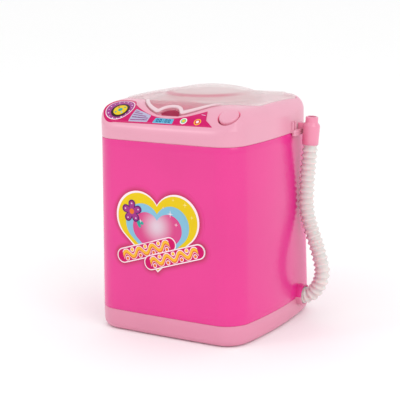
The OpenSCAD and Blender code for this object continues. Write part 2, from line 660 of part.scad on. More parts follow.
module output_gear() color("white") on_shaft() translate([0, 0, high_gear_z + 0.5]) difference() {
    gear(output_teeth, 0.8, 0, gear_w);
    translate([0, 0, -1]) cylinder(h = gear_w + 2, r = shaft_r);
}
module reduction_gear() color("white") on_shaft() translate([counter_at[0], 0, low_gear_z]) difference() {
    union() {
        gear(large_teeth, 0.8, 0, gear_w - 0.1);
        translate([0, 0, gear_w - 0.2]) gear(small_teeth, 0.9, 180 / small_teeth, gear_w + 0.9);
        translate([0, 0, -0.7]) cylinder(h = 1, r = axle_r + 1.2);
    }
    translate([0, 0, -2]) cylinder(h = 20, r = axle_r + run_gap);
}
module gear_axle() color(steel) on_shaft() translate([counter_at[0], 0, base_plate_z])
    cylinder(h = hub_z - base_plate_z, r = axle_r);
module motor_pinion() color("goldenrod") on_shaft() translate([motor_at[0], motor_at[1], low_gear_z - 0.4])
    difference() {
        gear(pinion_teeth, 0.9, 0, gear_w + 0.2);
        translate([0, 0, -1]) cylinder(h = 20, r = motor_shaft_r);
    }
module motor_shaft() color(steel) on_shaft()
    translate([motor_at[0], motor_at[1], base_plate_z - motor_len + 2])
        cylinder(h = low_gear_z + gear_w - base_plate_z + motor_len - 2, r = motor_shaft_r);

module plate_plan(with_motor) {
    polygon([post_at[0], post_at[2], motor_at, counter_at + [-10, 0], post_at[1]]);
    translate(counter_at) circle(gear_m * large_teeth * 0.37);
    circle(12);
    for (p = post_at) translate(p) circle(post_r + 1.2);
    if (with_motor) translate(motor_at) circle(motor_w / 2 + 1);
    else translate(motor_at) circle(5);
}
module gearbox_base() color([0.93, 0.93, 0.9]) on_shaft() difference() {
    union() {
        translate([0, 0, base_plate_z]) linear_extrude(plate_t) plate_plan(true);
        columns(post_at, base_plate_z, cover_z - base_plate_z, post_r);
    }
    translate([0, 0, base_plate_z - 1]) {
        cylinder(h = 20, r = shaft_r + run_gap);
        translate(counter_at) cylinder(h = 20, r = axle_r);
        translate(motor_at) cylinder(h = 20, r = pinion_teeth * gear_m / 2 + 1.4);
        columns(post_at, 0, 30, screw_r + fit_gap);
    }
}
module gearbox_cover() color([0.93, 0.93, 0.9]) on_shaft() difference() {
    translate([0, 0, cover_z]) linear_extrude(plate_t) plate_plan(false);
    translate([0, 0, cover_z - 1]) {
        cylinder(h = 20, r = shaft_r + run_gap);
        translate(counter_at) cylinder(h = 20, r = axle_r);
        columns(post_at, 0, 30, screw_r + fit_gap);
    }
}
module gearbox_screws() color(steel) on_shaft() for (p = post_at)
    translate([p[0], p[1], base_plate_z]) screw_up(0, hub_z - base_plate_z + 4.5);
module motor() color(steel) on_shaft() translate([motor_at[0], motor_at[1], base_plate_z - motor_len])
    difference() {
        union() {
            intersection() {
                translate([-motor_w / 2, -motor_t / 2, 0]) cube([motor_w, motor_t, motor_len]);
                cylinder(h = motor_len, r = motor_w / 2);
            }
            cylinder(h = motor_len + 1, r = 3);
            for (s = [-1, 1]) translate([s * 5 - 1, -0.4, -2.5]) cube([2, 0.8, 3]);
        }
        translate([0, 0, 1.5]) cylinder(h = motor_len + 5, r = motor_shaft_r + run_gap);
    }

// ---- button and switch, drawn on the button's own axis
flange_top = -button_deck - 0.3;
stem_z = -8.2;
module push_button() color(light_pink) button_frame() {
    intersection() {
        translate([0, 0, flange_top - 0.1]) cylinder(h = 20, r = button_r);
        translate([0, 0, button_out - 30]) sphere(30);
    }
    translate([0, 0, flange_top - 1.2]) cylinder(h = 1.2, r = well_r - 0.6);
    translate([0, 0, stem_z]) cylinder(h = flange_top - stem_z, r = 1.6);
}
module button_spring() color(steel) button_frame()
    spring(-well_d + 1.4, flange_top - 1.2, 3.6, 0.35, 4);
module switch_body() color([0.15, 0.15, 0.17]) button_frame() difference() {
    union() {
        translate([0, 0, -well_d]) cylinder(h = 1.4, r = well_r);
        translate([-4, -4, -well_d - 6.5]) cube([8, 8, 7]);
    }
    translate([0, 0, -well_d - 5.5]) cylinder(h = 20, r = 1.4 + run_gap);
}
module switch_plunger() color("white") button_frame()
    translate([0, 0, -well_d - 3]) cylinder(h = stem_z + well_d + 3, r = 1.4);

// ---- drain
bend_r = 8;
module drain_elbow() color("white") difference() {
    elbow_run(elbow_r, true);
    elbow_run(elbow_r - elbow_wall, false);
}
module elbow_run(r, solid) {
    e = solid ? 0 : 1;
    translate([drain_x, outlet_y, outlet_z + bend_r]) cylinder(h = 10 + e, r = r);
    translate([drain_x + bend_r, outlet_y, outlet_z + bend_r]) rotate([90, 0, 0])
        rotate([0, 0, 180]) rotate_extrude(angle = 90) translate([bend_r, 0]) circle(r);
    translate([drain_x + bend_r, outlet_y, outlet_z]) rotate([0, 90, 0])
        cylinder(h = hose_x - drain_x - bend_r + e, r = r);
    if (solid) translate([hose_x - 1.2, outlet_y, outlet_z]) rotate([0, 90, 0])
        cylinder(h = 1.2, r = hose_r);
}
module drain_tube() color([0.9, 0.9, 0.9]) translate([drain_x, outlet_y, outlet_z + bend_r + 4])
    difference() {
        cylinder(h = hub_z + 5 - outlet_z - bend_r - 4, r = elbow_r + elbow_wall);
        translate([0, 0, -1]) cylinder(h = reach, r = elbow_r);
    }

// Hose centre line, side view (x, z): outlet, short curl, along the side wall, nozzle;
// it moves with the outlet
hose_route = [for (p = [[55.5, 14.7], [58.3, 14.7], [60.9, 15.6], [63.2, 17.2], [65.3, 19.6],
              [67, 22.4], [68.4, 25.7], [69.2, 29.3], [69.3, 33.2], [68.7, 37], [67.6, 41.5],
              [66.2, 46], [64.7, 50.5], [63.1, 55], [61.5, 59.5], [60.1, 64], [59, 69],
              [58.4, 74], [58.4, 80.5], [58.7, 87], [59.2, 93.5], [59.8, 100], [60.55, 106.5],
              [61, 112.5]]) [p[0] + hose_x - 55.5, p[1] + outlet_z - 14.7]];
nozzle_at = [hose_x + 5.5, outlet_y, outlet_z + 97.8];
module drain_hose() color([0.95, 0.95, 0.94])
    tube([for (p = hose_route) [p[0], outlet_y, p[1]]], [[0, 1, 0]], hose_r, 12);

module hose_nozzle() color(light_pink) {
    translate(nozzle_at) rotate([0, nozzle_tilt, 0]) rotate_extrude() polygon([
        [2.6, 0], [nozzle_r, 0], [nozzle_r, nozzle_len], [nozzle_r - 1.4, nozzle_len + 0.9],
        [nozzle_r - 1.4, nozzle_len + 4.4], [2.6, nozzle_len + 4.4]]);
    translate([notch[0] + 0.2, notch[1] + 0.3, shelf_z + shelf_h])
        cube([nozzle_at[0] - 3.4 - notch[0], notch[3] - 0.6, 3.6]);
    translate([notch[0] + 0.2, notch[1] + 0.3, shelf_z + 0.4]) cube([hook_t, notch[3] - 0.6, shelf_h]);
}

// ---- labels
dial_at = [-top_hw + 16.3, -top_hd + 12.5];
panel_y = -top_hd + 2.7;                // front edge of the panel label
panel_w = 2 * top_hw - 36.8;
panel_bow = 43.3;                       // radius of its hollow rear edge
module panel_plan() difference() {
    union() {
        translate(dial_at) circle(dial_r);
        translate([dial_at[0], panel_y]) polygon([[0, -0.3], [panel_w, 0.5], [panel_w - 5.7, 3.8],
                                                  [panel_w - 8.6, 10.7], [7.3, 16.7]]);
    }
    translate([0, panel_y + 3.4 + panel_bow]) circle(panel_bow);
}
module panel_label() color([0.80, 0.08, 0.40]) difference() {
    intersection() {
        translate([0, 0, seam_z]) linear_extrude(frame_h + 9) panel_plan();
        frame_form(-label_t, -1);
    }
    frame_form(0, -2);
}
heart_x = -3.5;
heart_z = 41.5;                         // height of the heart's tip
ribbon_h = 9.5;
ribbon_l = 35;                          // between the middles of a ribbon's round ends
ribbon_tilt = 17.5;
ribbon_at = [[-21.25, 14.75], [-2.75, 6.75]];           // left ends, from the heart's tip

// Front label, seen from the front: a heart with two slanted ribbons across its lower half
module front_plan() translate([heart_x, heart_z]) {
    lobe = heart_w * 0.27;
    cx = heart_w / 2 - lobe;
    cy = heart_w * 0.56;
    d = norm([cx, cy]);
    a = atan2(cy, cx) - asin(lobe / d);
    foot = sqrt(d * d - lobe * lobe);
    for (s = [-1, 1]) translate([s * cx, cy]) circle(lobe);
    polygon([[0, 0], [foot * cos(a), foot * sin(a)], [cx, cy], [0, cy + lobe * 0.5],
             [-cx, cy], [-foot * cos(a), foot * sin(a)]]);
    rotate(ribbon_tilt) for (p = ribbon_at) translate(p) {
        translate([0, -ribbon_h / 2]) square([ribbon_l, ribbon_h]);
        for (x = [0, ribbon_l]) translate([x, 0]) circle(ribbon_h / 2);
    }
}
module front_label() color([0.90, 0.78, 0.12]) difference() {
    intersection() {
        rotate([90, 0, 0]) linear_extrude(foot_hd + 2) front_plan();
        body_form(label_t, 0);
    }
    body_form(0, 1);
}

// ---- drawing
base_tray();
body_shell();
top_frame();
lid();
wash_tub();
pulsator();
pulsator_screw();
drive_shaft();
shaft_bush();
shaft_seal();
output_gear();
reduction_gear();
gear_axle();
motor_pinion();
motor_shaft();
motor();
gearbox_base();
gearbox_cover();
gearbox_screws();
push_button();
button_spring();
switch_body();
switch_plunger();
tub_screws();
frame_screws();
base_screws();
battery_door();
battery_door_screw();
cells();
coil_contacts();
plate_contact();
drain_tube();
drain_elbow();
drain_hose();
hose_nozzle();
panel_label();
front_label();
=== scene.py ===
from math import acos, asin, atan2, cos, hypot, pi, radians, sin, sqrt

import bpy
import bmesh
import numpy as np
from mathutils import Matrix, Vector
from mathutils.geometry import delaunay_2d_cdt


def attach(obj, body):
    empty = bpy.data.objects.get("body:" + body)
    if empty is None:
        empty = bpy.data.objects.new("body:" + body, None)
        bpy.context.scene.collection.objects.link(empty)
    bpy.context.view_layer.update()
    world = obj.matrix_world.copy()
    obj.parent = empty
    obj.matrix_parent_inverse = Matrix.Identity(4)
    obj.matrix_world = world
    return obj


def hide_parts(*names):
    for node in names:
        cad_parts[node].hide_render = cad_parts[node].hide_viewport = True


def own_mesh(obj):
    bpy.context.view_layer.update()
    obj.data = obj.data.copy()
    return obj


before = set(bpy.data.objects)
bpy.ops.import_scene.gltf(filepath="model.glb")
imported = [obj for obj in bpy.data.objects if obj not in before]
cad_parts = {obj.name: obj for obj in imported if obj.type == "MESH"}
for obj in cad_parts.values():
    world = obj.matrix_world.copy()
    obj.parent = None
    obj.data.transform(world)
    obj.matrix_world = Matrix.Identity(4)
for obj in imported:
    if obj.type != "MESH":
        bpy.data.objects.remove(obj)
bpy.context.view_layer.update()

MM = 0.001
scene = bpy.context.scene


def placed(name, data):
    """A new object in the scene."""
    obj = bpy.data.objects.new(name, data)
    scene.collection.objects.link(obj)
    return obj


# ---- camera: the photograph's view, from the right and a little above
AZIMUTH = radians(30.95)
ELEVATION = radians(13.21)
ROLL = radians(-1.10)
DISTANCE = 0.7509
TARGET = Vector((0, 0, 0.067))
FOCAL_PX = 1181.57
CENTRE_PX = (205.9, 214.24)
IMAGE_PX = 400
SENSOR = 36

back = Vector((sin(AZIMUTH) * cos(ELEVATION),
               -cos(AZIMUTH) * cos(ELEVATION), sin(ELEVATION)))
side = (-back).cross(Vector((0, 0, 1))).normalized()
up = side.cross(-back).normalized()
right = side * cos(ROLL) + up * sin(ROLL)
top = up * cos(ROLL) - side * sin(ROLL)
cam_data = bpy.data.cameras.new("camera")
cam_data.sensor_width = SENSOR
cam_data.lens = FOCAL_PX / IMAGE_PX * SENSOR
cam_data.shift_x = (IMAGE_PX / 2 - CENTRE_PX[0]) / IMAGE_PX
cam_data.shift_y = (CENTRE_PX[1] - IMAGE_PX / 2) / IMAGE_PX
cam_data.clip_start = 0.01
cam_data.clip_end = 20
camera = placed("camera", cam_data)
turn = Matrix((right, top, back)).transposed().to_4x4()
camera.matrix_world = Matrix.Translation(TARGET + back * DISTANCE) @ turn
scene.camera = camera


# ---- the part's own sizes, in millimetres
BASE_H, BODY_H, FRAME_H = 13.5, 107.0, 21.0
SEAM = BASE_H + BODY_H
RIM = SEAM + FRAME_H
FOOT_HW, FOOT_HD = 54.75, 52.5
SIDE_DRAFT, FRONT_DRAFT = 1.2, 2.6
CORNER_R, SIDE_BOW, FRONT_BOW = 16.5, 2.6, 0.35
WALL = 2.0
SLOPE_R, SLOPE_Y = 32.0, -23.5
TUB_Y, TUB_R, TUB_TOP = 1.5, 36.0, 130.0
HINGE_Y, HINGE_Z = 42.0, 138.8
OUTLET_Y, OUTLET_Z = 25.5, 14.7
COLLAR_X, COLLAR_R = (51.6, 57.5), 6.85


# ---- mesh helpers; all of them take millimetres
class Shell:
    """Collects the vertices and faces of one piece."""

    def __init__(self):
        self.verts, self.faces, self.mats = [], [], []

    def add(self, verts, faces, mat=0):
        start = len(self.verts)
        self.verts += list(verts)
        self.faces += [tuple(start + i for i in f) for f in faces]
        self.mats += [mat] * len(faces)

    def strip(self, a, b, mat=0, closed=True):
        """Quads between two rows of points of equal length."""
        n = len(a)
        faces = [(i, (i + 1) % n, n + (i + 1) % n, n + i) for i in range(n if closed else n - 1)]
        self.add(list(a) + list(b), faces, mat)

    def strips(self, rows, mat=0, closed=True):
        for a, b in zip(rows, rows[1:]):
            self.strip(a, b, mat, closed)

    def cap(self, row):
        self.add(row, [range(len(row))])

    def tube(self, rows):
        """Strips through closed rows, with both ends capped."""
        self.strips(rows)
        self.cap(rows[0])
        self.cap(rows[-1])

    def make(self, name, materials, smooth=35, body="housing"):
        """The finished piece on its body, with edges sharper than smooth degrees kept sharp."""
        mesh = bpy.data.meshes.new(name)
        mesh.from_pydata([tuple(c * MM for c in v) for v in self.verts], [], self.faces)
        mesh.validate()
        for m in materials:
            mesh.materials.append(m)
        for p, k in zip(mesh.polygons, self.mats):
            p.material_index = k
        obj = placed(name, mesh)
        bm = bmesh.new()
        bm.from_mesh(mesh)
        bmesh.ops.remove_doubles(bm, verts=bm.verts, dist=1e-6)
        bmesh.ops.recalc_face_normals(bm, faces=bm.faces)
        bm.to_mesh(mesh)
        bm.free()
        mesh.shade_smooth()
        mesh.set_sharp_from_angle(angle=radians(smooth))
        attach(obj, body)
        return obj


def around(n):
    """Evenly spaced angles of a full turn."""
    return np.arange(n) * 2 * pi / n


def arc(cx, cy, r, t):
    """Points of a circle at the angles t."""
    return np.stack([cx + r * np.cos(t), cy + r * np.sin(t)], 1)


def circle(cx, cy, r, n):
    return arc(cx, cy, r, around(n))


def spun(points, angle, cx=0.0, cy=0.0):
    """Plan points turned by an angle and moved by cx and cy."""
    x, y = np.moveaxis(np.asarray(points, float), -1, 0)
    c, s = cos(angle), sin(angle)
    return np.stack([cx + x * c - y * s, cy + x * s + y * c], -1)


def rings(profile, place, n):
    """Rows of points round an axis, one for each (radius, height) of the profile."""
    return [np.array([place(r, t, h) for t in around(n)]) for r, h in profile]


def part_of(loop, keep):
    """The kept run of a closed loop, as an open row."""
    start = int(np.argmax(keep & ~np.roll(keep, 1)))
    return np.roll(loop, -start, axis=0)[np.roll(keep, -start)]


def inside(points, loop):
    """Which of the points lie inside a closed 2-D loop."""
    x, y = points[:, 0], points[:, 1]
    hit = np.zeros(len(points), bool)
    for (x0, y0), (x1, y1) in zip(loop, np.roll(loop, -1, axis=0)):
        if y0 == y1:
            continue
        crosses = (y0 > y) != (y1 > y)
        hit ^= crosses & (x < (x1 - x0) * (y - y0) / (y1 - y0) + x0)
    return hit


def distance(points, loop):
    """Distance of each point from a closed 2-D loop."""
    best = np.full(len(points), 1e9)
    for a, b in zip(loop, np.roll(loop, -1, axis=0)):
        ab = b - a
        t = np.clip(((points - a) @ ab) / max(ab @ ab, 1e-12), 0, 1)
        best = np.minimum(best, np.hypot(*(points - a - t[:, None] * ab).T))
    return best


def normals(v):
    """Unit vectors that point to the right of plan vectors."""
    return (v / np.hypot(*v.T)[:, None])[:, ::-1] * (1, -1)


def offset(loop, g):
    """A counter-clockwise loop moved outwards by g."""
    n0 = normals(loop - np.roll(loop, 1, axis=0))
    n = n0 + normals(np.roll(loop, -1, axis=0) - loop)
    n /= np.maximum((n * n0).sum(1), 0.35 * np.hypot(*n.T))[:, None]
    return loop + g * n


def resample(loop, step):
    """The same closed loop with points about one step apart, corners kept."""
    out = []
    for a, b in zip(loop, np.roll(loop, -1, axis=0)):
        k = max(1, int(round(np.hypot(*(b - a)) / step)))
        out += [a + (b - a) * i / k for i in range(k)]
    return np.array(out)


def soften(loop, r, step=0.5, fixed=()):
    """Rounds the corners of a closed loop over about r to each side."""
    pts = resample(loop, step)
    keep = np.zeros(len(pts), bool)
    for f in fixed:
        keep |= np.hypot(*(pts - f).T) < r * 1.6
    width = max(1, int(round(r / step)))
    for _ in range(2):
        acc = sum(np.roll(pts, k, axis=0) for k in range(-width, width + 1))
        pts = np.where(keep[:, None], pts, acc / (2 * width + 1))
    return pts


ROW_GAP = 0.04  # how near an edge of the area a point of an extra row may come


def delaunay(loops, free=()):
    """Triangles over closed loops and free points: the points, the faces and their middles."""
    pts, edges = [], []
    for loop in loops:
        s = len(pts)
        pts += [Vector(p) for p in loop]
        edges += [(s + i, s + (i + 1) % len(loop)) for i in range(len(loop))]
    pts += [Vector(p) for p in free]
    out = delaunay_2d_cdt(pts, edges, [], 0, 1e-5)
    verts, tris = np.array(out[0]), np.array(out[2])
    return verts, tris, verts[tris].mean(1)


def fill(outer, holes=(), spacing=1.5, rows=()):
    """Triangles inside outer and outside the holes: 2-D points and faces. The rows are loops
    of extra points, left out where they come near an edge."""
    lo, hi = outer.min(0), outer.max(0)
    gx = np.arange(lo[0] + spacing / 2, hi[0], spacing)
    gy = np.arange(lo[1] + spacing / 2, hi[1], spacing)
    grid = np.array([(x, y) for x in gx for y in gy]).reshape(-1, 2)
    free = [grid[clear(grid, outer, holes, 0.5 * spacing, rows)]]
    for row in rows:
        gap = np.hypot(*(row - np.roll(row, 1, axis=0)).T).mean()
        free.append(row[clear(row, outer, holes, ROW_GAP, (), 0.5 * gap)])
    verts, tris, mid = delaunay([outer, *holes], np.vstack(free))
    ok = inside(mid, outer)
    for h in holes:
        ok &= ~inside(mid, h)
    return verts, tris[ok]


def clear(points, outer, holes, gap, rows=(), hole_gap=None):
    """Which points lie inside outer, outside the holes and away from every loop."""
    ok = inside(points, outer) & (distance(points, outer) > gap)
    for h in holes:
        ok &= ~inside(points, h) & (distance(points, h) > (hole_gap or gap))
    for row in rows:
        ok &= distance(points, row) > gap
    return ok


def at(points, z):
    """2-D points raised to height z, a number or one value for each point."""
    return np.column_stack([points, np.broadcast_to(z, len(points))])


# ---- plan outline of the housing: four corner arcs joined by four bowed sides, all tangent
def outline(hw, hd, r, side_n=10, corner_n=14, front_n=10):
    cx, cy = hw - r - SIDE_BOW, hd - r - FRONT_BOW
    sr = (SIDE_BOW ** 2 + cy ** 2) / (2 * SIDE_BOW)
    fr = (FRONT_BOW ** 2 + cx ** 2) / (2 * FRONT_BOW)
    a, b = atan2(cy, sr - SIDE_BOW), atan2(cx, fr - FRONT_BOW)
    corner = pi / 2 - b - a
    q = np.vstack([
        arc(hw - sr - r, 0, sr + r, a * np.arange(side_n) / side_n),
        arc(cx, cy, r, a + corner * np.arange(corner_n + 1) / corner_n),
        arc(0, hd - fr - r, fr + r, pi / 2 - b + b * np.arange(1, front_n + 1) / front_n)])
    mid = q[1:-1][::-1]
    return np.vstack([q, mid * (-1, 1), q * (-1, -1), mid * (1, -1)])


def housing_ring(z, inset=0.0):
    """The leaning body's outline at height z, moved inwards."""
    rise = (z - BASE_H) / BODY_H
    return outline(FOOT_HW - SIDE_DRAFT * rise - inset, FOOT_HD - FRONT_DRAFT * rise - inset,
                   CORNER_R - inset)


def foot_ring(inset=0.0):
    return housing_ring(BASE_H, inset)


def frame_ring(inset=0.0):
    return housing_ring(SEAM, inset)


FRAME_EDGE = frame_ring()
RIM_ROUND = 9.5
LIP_ROUND = 2.4


def fillet(d, r):
    """How far a rounded edge of radius r drops at distance d from the wall."""
    e = np.clip(r - d, 0, r)
    return r - np.sqrt(np.maximum(r * r - e * e, 0))


def slope(y):
    y = np.minimum(y, SLOPE_Y)
    return RIM - SLOPE_R + np.sqrt(SLOPE_R ** 2 - (y - SLOPE_Y) ** 2)


def smooth_min(a, b, k):
    h = np.clip(0.5 + 0.5 * (b - a) / k, 0, 1)
    return b + (a - b) * h - k * h * (1 - h)


def top_z(points):
    """Height of the top frame's outer surface over plan points."""
    y = points[:, 1]
    d = distance(points, FRAME_EDGE)
    z = smooth_min(slope(y), RIM - fillet(d, RIM_ROUND), 1.2)
    front = np.clip((-30 - y) / 12, 0, 1)
    return z - fillet(d, LIP_ROUND) * front * front * (3 - 2 * front)


# ---- materials
def rgb(*colour):
    """An sRGB colour, 0 to 255, as a linear one."""
    c = np.array(colour) / 255
    return (*np.where(c <= 0.04045, c / 12.92, ((c + 0.055) / 1.055) ** 2.4), 1.0)


def feed(mat, node, inputs):
    """Sets a node's inputs. One that is given as another node's output is linked to it."""
    for key, value in inputs.items():
        if isinstance(value, bpy.types.NodeSocket):
            mat.node_tree.links.new(value, node.inputs[key])
        else:
            node.inputs[key].default_value = value


def shader(mat, kind, inputs=None):
    """A new shader node of a kind, with its inputs."""
    node = mat.node_tree.nodes.new("ShaderNode" + kind)
    feed(mat, node, inputs or {})
    return node


def ranged(mat, value, low, high, to_low=0.0, to_high=1.0):
    """The value's place between low and high, as a number from to_low to to_high."""
    return shader(mat, "MapRange", {"Value": value, "From Min": low, "From Max": high,
                                    "To Min": to_low, "To Max": to_high}).outputs["Result"]


def blend(mat, share, a, b):
    """Colour a turned into colour b by the share."""
    mix = shader(mat, "Mix")
    mix.data_type = "RGBA"
    feed(mat, mix, {"Factor": share, "A": a, "B": b})
    return mix.outputs["Result"]


def position(mat):
    return shader(mat, "TexCoord").outputs["Object"]


def away_from(mat, centre):
    """Distance from a point of the piece, in metres."""
    span = shader(mat, "VectorMath", {0: position(mat), 1: centre})
    span.operation = "DISTANCE"
    return span.outputs["Value"]


def base_of(mat):
    return mat.node_tree.nodes["Principled BSDF"]


def plastic(name, colour, rough=0.28, grain=900.0, bump=0.02, coat=0.25, sss=0.0, metallic=0.0):
    """Moulded plastic: slight colour drift over the piece, fine roughness grain, soft bump."""
    mat = bpy.data.materials.new(name)
    mat.use_nodes = True
    mat.node_tree.nodes.clear()
    place = position(mat)
    drift = shader(mat, "TexNoise", {"Vector": place, "Scale": 22.0, "Detail": 2.0})
    ramp = shader(mat, "ValToRGB", {"Fac": drift.outputs["Fac"]})
    dark, light = ramp.color_ramp.elements
    dark.position, light.position = 0.35, 0.65
    dark.color = tuple(c * 0.95 for c in colour[:3]) + (1,)
    light.color = colour
    fine = shader(mat, "TexNoise", {"Vector": place, "Scale": grain, "Detail": 3.0}).outputs["Fac"]
    height = shader(mat, "Bump", {"Height": fine, "Strength": bump, "Distance": 0.0004})
    bsdf = shader(mat, "BsdfPrincipled", {
        "Base Color": ramp.outputs["Color"], "Normal": height.outputs["Normal"],
        "Roughness": ranged(mat, fine, 0.0, 1.0, max(rough - 0.05, 0.02), rough + 0.05),
        "Metallic": metallic, "Coat Weight": coat, "Coat Roughness": 0.12})
    if sss:
        feed(mat, bsdf, {"Subsurface Weight": sss, "Subsurface Radius": (0.004, 0.002, 0.002),
                         "Subsurface Scale": 0.5})
    shader(mat, "OutputMaterial", {"Surface": bsdf.outputs["BSDF"]})
    return mat


def milky(name, colour, painted_lobe_tint, painted_rim_colour):
    """Thin cloudy plastic: light shines through it, and the lobe in front is clearer. Its colour
    holds painted see-through: a pinker tint on the lobe and a soft pink ring for the tub's rim
    under the dome.
    """
    mat = plastic(name, colour, rough=0.2, coat=0.2)
    y = shader(mat, "SeparateXYZ", {0: position(mat)}).outputs["Y"]
    front = ranged(mat, y, *LOBE_FADE)
    # painted see-through: a soft ring of the rim colour round the dome, standing in for the tub's
    # pink rim seen through the lid
    ring = ranged(mat, away_from(mat, PAINTED_RIM_CENTRE), 0.0, PAINTED_RIM_REACH)
    profile = shader(mat, "ValToRGB", {"Fac": ring})
    profile.color_ramp.elements[-1].color = (0, 0, 0, 1)
    for radius, level in PAINTED_RIM_PROFILE:
        stop = profile.color_ramp.elements.new(radius / PAINTED_RIM_REACH)
        stop.color = (level, level, level, 1)
    share = shader(mat, "Math", {0: profile.outputs["Color"], 1: ranged(mat, y, *PAINTED_RIM_FADE)})
    share.operation = "MULTIPLY"
    # the lobe's pinker tint and the rim ring are painted see-through, blended into the plastic's
    # colour
    tint = blend(mat, share.outputs[0], blend(mat, front, colour, painted_lobe_tint), painted_rim_colour)
    bsdf = base_of(mat)
    feed(mat, bsdf, {"Base Color": tint, "Alpha": ranged(mat, front, 0.0, 1.0, *DENSITY)})
    glow = shader(mat, "BsdfTranslucent", {"Color": tint})
    mix = shader(mat, "MixShader", {0: GLOW_SHARE, 1: bsdf.outputs[0], 2: glow.outputs[0]})
    feed(mat, mat.node_tree.nodes["Material Output"], {"Surface": mix.outputs[0]})
    return mat


# the lid: the y where its clearer front lobe starts, in metres, how opaque the plate and the
# lobe are, and the share of light that spreads through it
LOBE_FADE = (-0.0235, -0.0275)
DENSITY = (0.46, 0.32)
GLOW_SHARE = 0.2
# painted see-through: a soft pink ring painted into the lid's colour where the tub's rim shows
# through the dome: radius in metres, strength
PAINTED_RIM_CENTRE = (0, 0.0075, 0.144)
PAINTED_RIM_FADE = (0.006, -0.010, 0.2)  # from y, to y, strength left behind
PAINTED_RIM_REACH = 0.040
PAINTED_RIM_PROFILE = ((0.0226, 0.0), (0.0246, 0.85), (0.0264, 0.95), (0.0286, 0.0))
BODY_COLOUR = rgb(224, 41, 138)
BODY_PINK = plastic("body_pink_plastic", BODY_COLOUR, rough=0.22, coat=0.2)
TRIM_PINK = plastic("trim_pink_plastic", rgb(225, 156, 178), rough=0.32, coat=0.1)
NOZZLE_PINK = plastic("nozzle_plastic", rgb(232, 138, 168), rough=0.16, coat=0.6)
# the frame's plastic in a deeper, brighter pink: painted light on the walls of the button's hole
# and the wash opening's collar, standing in for the saturated light inside these recesses
PAINTED_RECESS_PINK = plastic("painted_recess_pink_plastic", rgb(250, 122, 160), rough=0.35, coat=0.0)
BASE_PINK = plastic("base_pink_plastic", rgb(219, 138, 166), rough=0.32, coat=0.1)
# the lid's lobe tint and rim colour are painted see-through pink
LID_CLEAR = milky("lid_milky_plastic", rgb(254, 246, 246), rgb(255, 196, 210), rgb(236, 150, 170))
LID_RIM = plastic("lid_rim_plastic", rgb(226, 196, 204), rough=0.25, coat=0.2)
TUB_PINK = plastic("tub_plastic", rgb(250, 120, 164), rough=0.25)
WHITE = plastic("white_plastic", rgb(236, 232, 230), rough=0.35)
IVORY = plastic("gear_plastic", rgb(228, 226, 214), rough=0.45, coat=0.0)
BLACK = plastic("black_plastic", rgb(40, 40, 44), rough=0.5, coat=0.0)
HOSE = plastic("hose_plastic", rgb(222, 214, 211), rough=0.3, coat=0.15, sss=0.7)
STEEL = plastic("steel_metal", rgb(190, 190, 194), rough=0.3, metallic=1.0, coat=0.0, grain=1500.0)
BRASS = plastic("bronze_metal", rgb(196, 150, 84), rough=0.35, metallic=1.0, coat=0.0)
RUBBER = plastic("seal_rubber", rgb(36, 36, 38), rough=0.6, coat=0.0, bump=0.1)
VINYL = plastic("drain_vinyl", rgb(214, 214, 212), rough=0.3, coat=0.1)
CELL = plastic("cell_jacket", rgb(206, 132, 46), rough=0.35, coat=0.3)


def ink(name, *colour):
    mat = plastic("ink_" + name, rgb(*colour), rough=0.24, bump=0.01, coat=0.05)
    feed(mat, base_of(mat), {"Specular IOR Level": 0.15})
    return mat


def glowing(name, edge, middle, centre, reach):
    """Ink whose colour fades outwards from a pale middle."""
    mat = plastic(name, edge, rough=0.24, bump=0.01, coat=0.4)
    part = ranged(mat, away_from(mat, centre), 0.0, reach)
    part.node.interpolation_type = "SMOOTHSTEP"
    feed(mat, base_of(mat), {"Base Color": blend(mat, part, middle, edge)})
    return mat


def bloom(name, colour):
    """Ink that turns into the body's own colour with the mesh's fade value."""
    mat = plastic(name, BODY_COLOUR, rough=0.22, coat=0.2)
    fade = shader(mat, "Attribute")
    fade.attribute_name = "fade"
    body = mat.node_tree.nodes["Color Ramp"].outputs["Color"]
    feed(mat, base_of(mat), {"Base Color": blend(mat, fade.outputs["Fac"], body, colour)})
    return mat


INK = {name: ink(name, *colour) for name, *colour in (
    ("magenta", 200, 0, 98), ("white", 246, 226, 234), ("cream", 246, 232, 150),
    ("yellow", 226, 194, 18), ("blue", 130, 184, 210), ("sky", 92, 172, 204),
    ("teal", 40, 160, 150), ("navy", 24, 78, 128), ("green", 120, 196, 150),
    ("purple", 156, 52, 132), ("dark_purple", 92, 24, 104), ("lilac", 226, 184, 220),
    ("dark_lilac", 150, 96, 146), ("silver", 178, 176, 204), ("maroon", 48, 6, 26),
    ("red", 206, 40, 60), ("orange", 226, 112, 40), ("gold", 240, 184, 52))}
INK["glow"] = glowing("ink_glow", rgb(206, 40, 122), rgb(214, 190, 204),
                      (-0.0037, -0.0505, 0.0700), 0.0135)
BLOOM = bloom("ink_bloom", rgb(184, 0, 78))


# ---- body shell: the hot pink housing with bowed, leaning walls
SEAM_ROUND = ((0.0, 0.4), (0.12, 0.15), (0.4, 0.0))


def body_shell():
    s = Shell()
    ends = [(BASE_H + dz, i) for dz, i in SEAM_ROUND]
    walls = [(BASE_H + BODY_H * k / 24, 0.0) for k in range(1, 24)]
    walls += [(SEAM - dz, i) for dz, i in reversed(SEAM_ROUND)]
    outer = [at(housing_ring(z, i), z) for z, i in ends + walls]
    inner = [at(housing_ring(z, WALL), z) for z in np.linspace(SEAM, BASE_H, 9)]
    s.strips(outer + inner + [outer[0]])
    outlet_arch(s, 180.0)
    return s.make("housing_shell", [BODY_PINK])


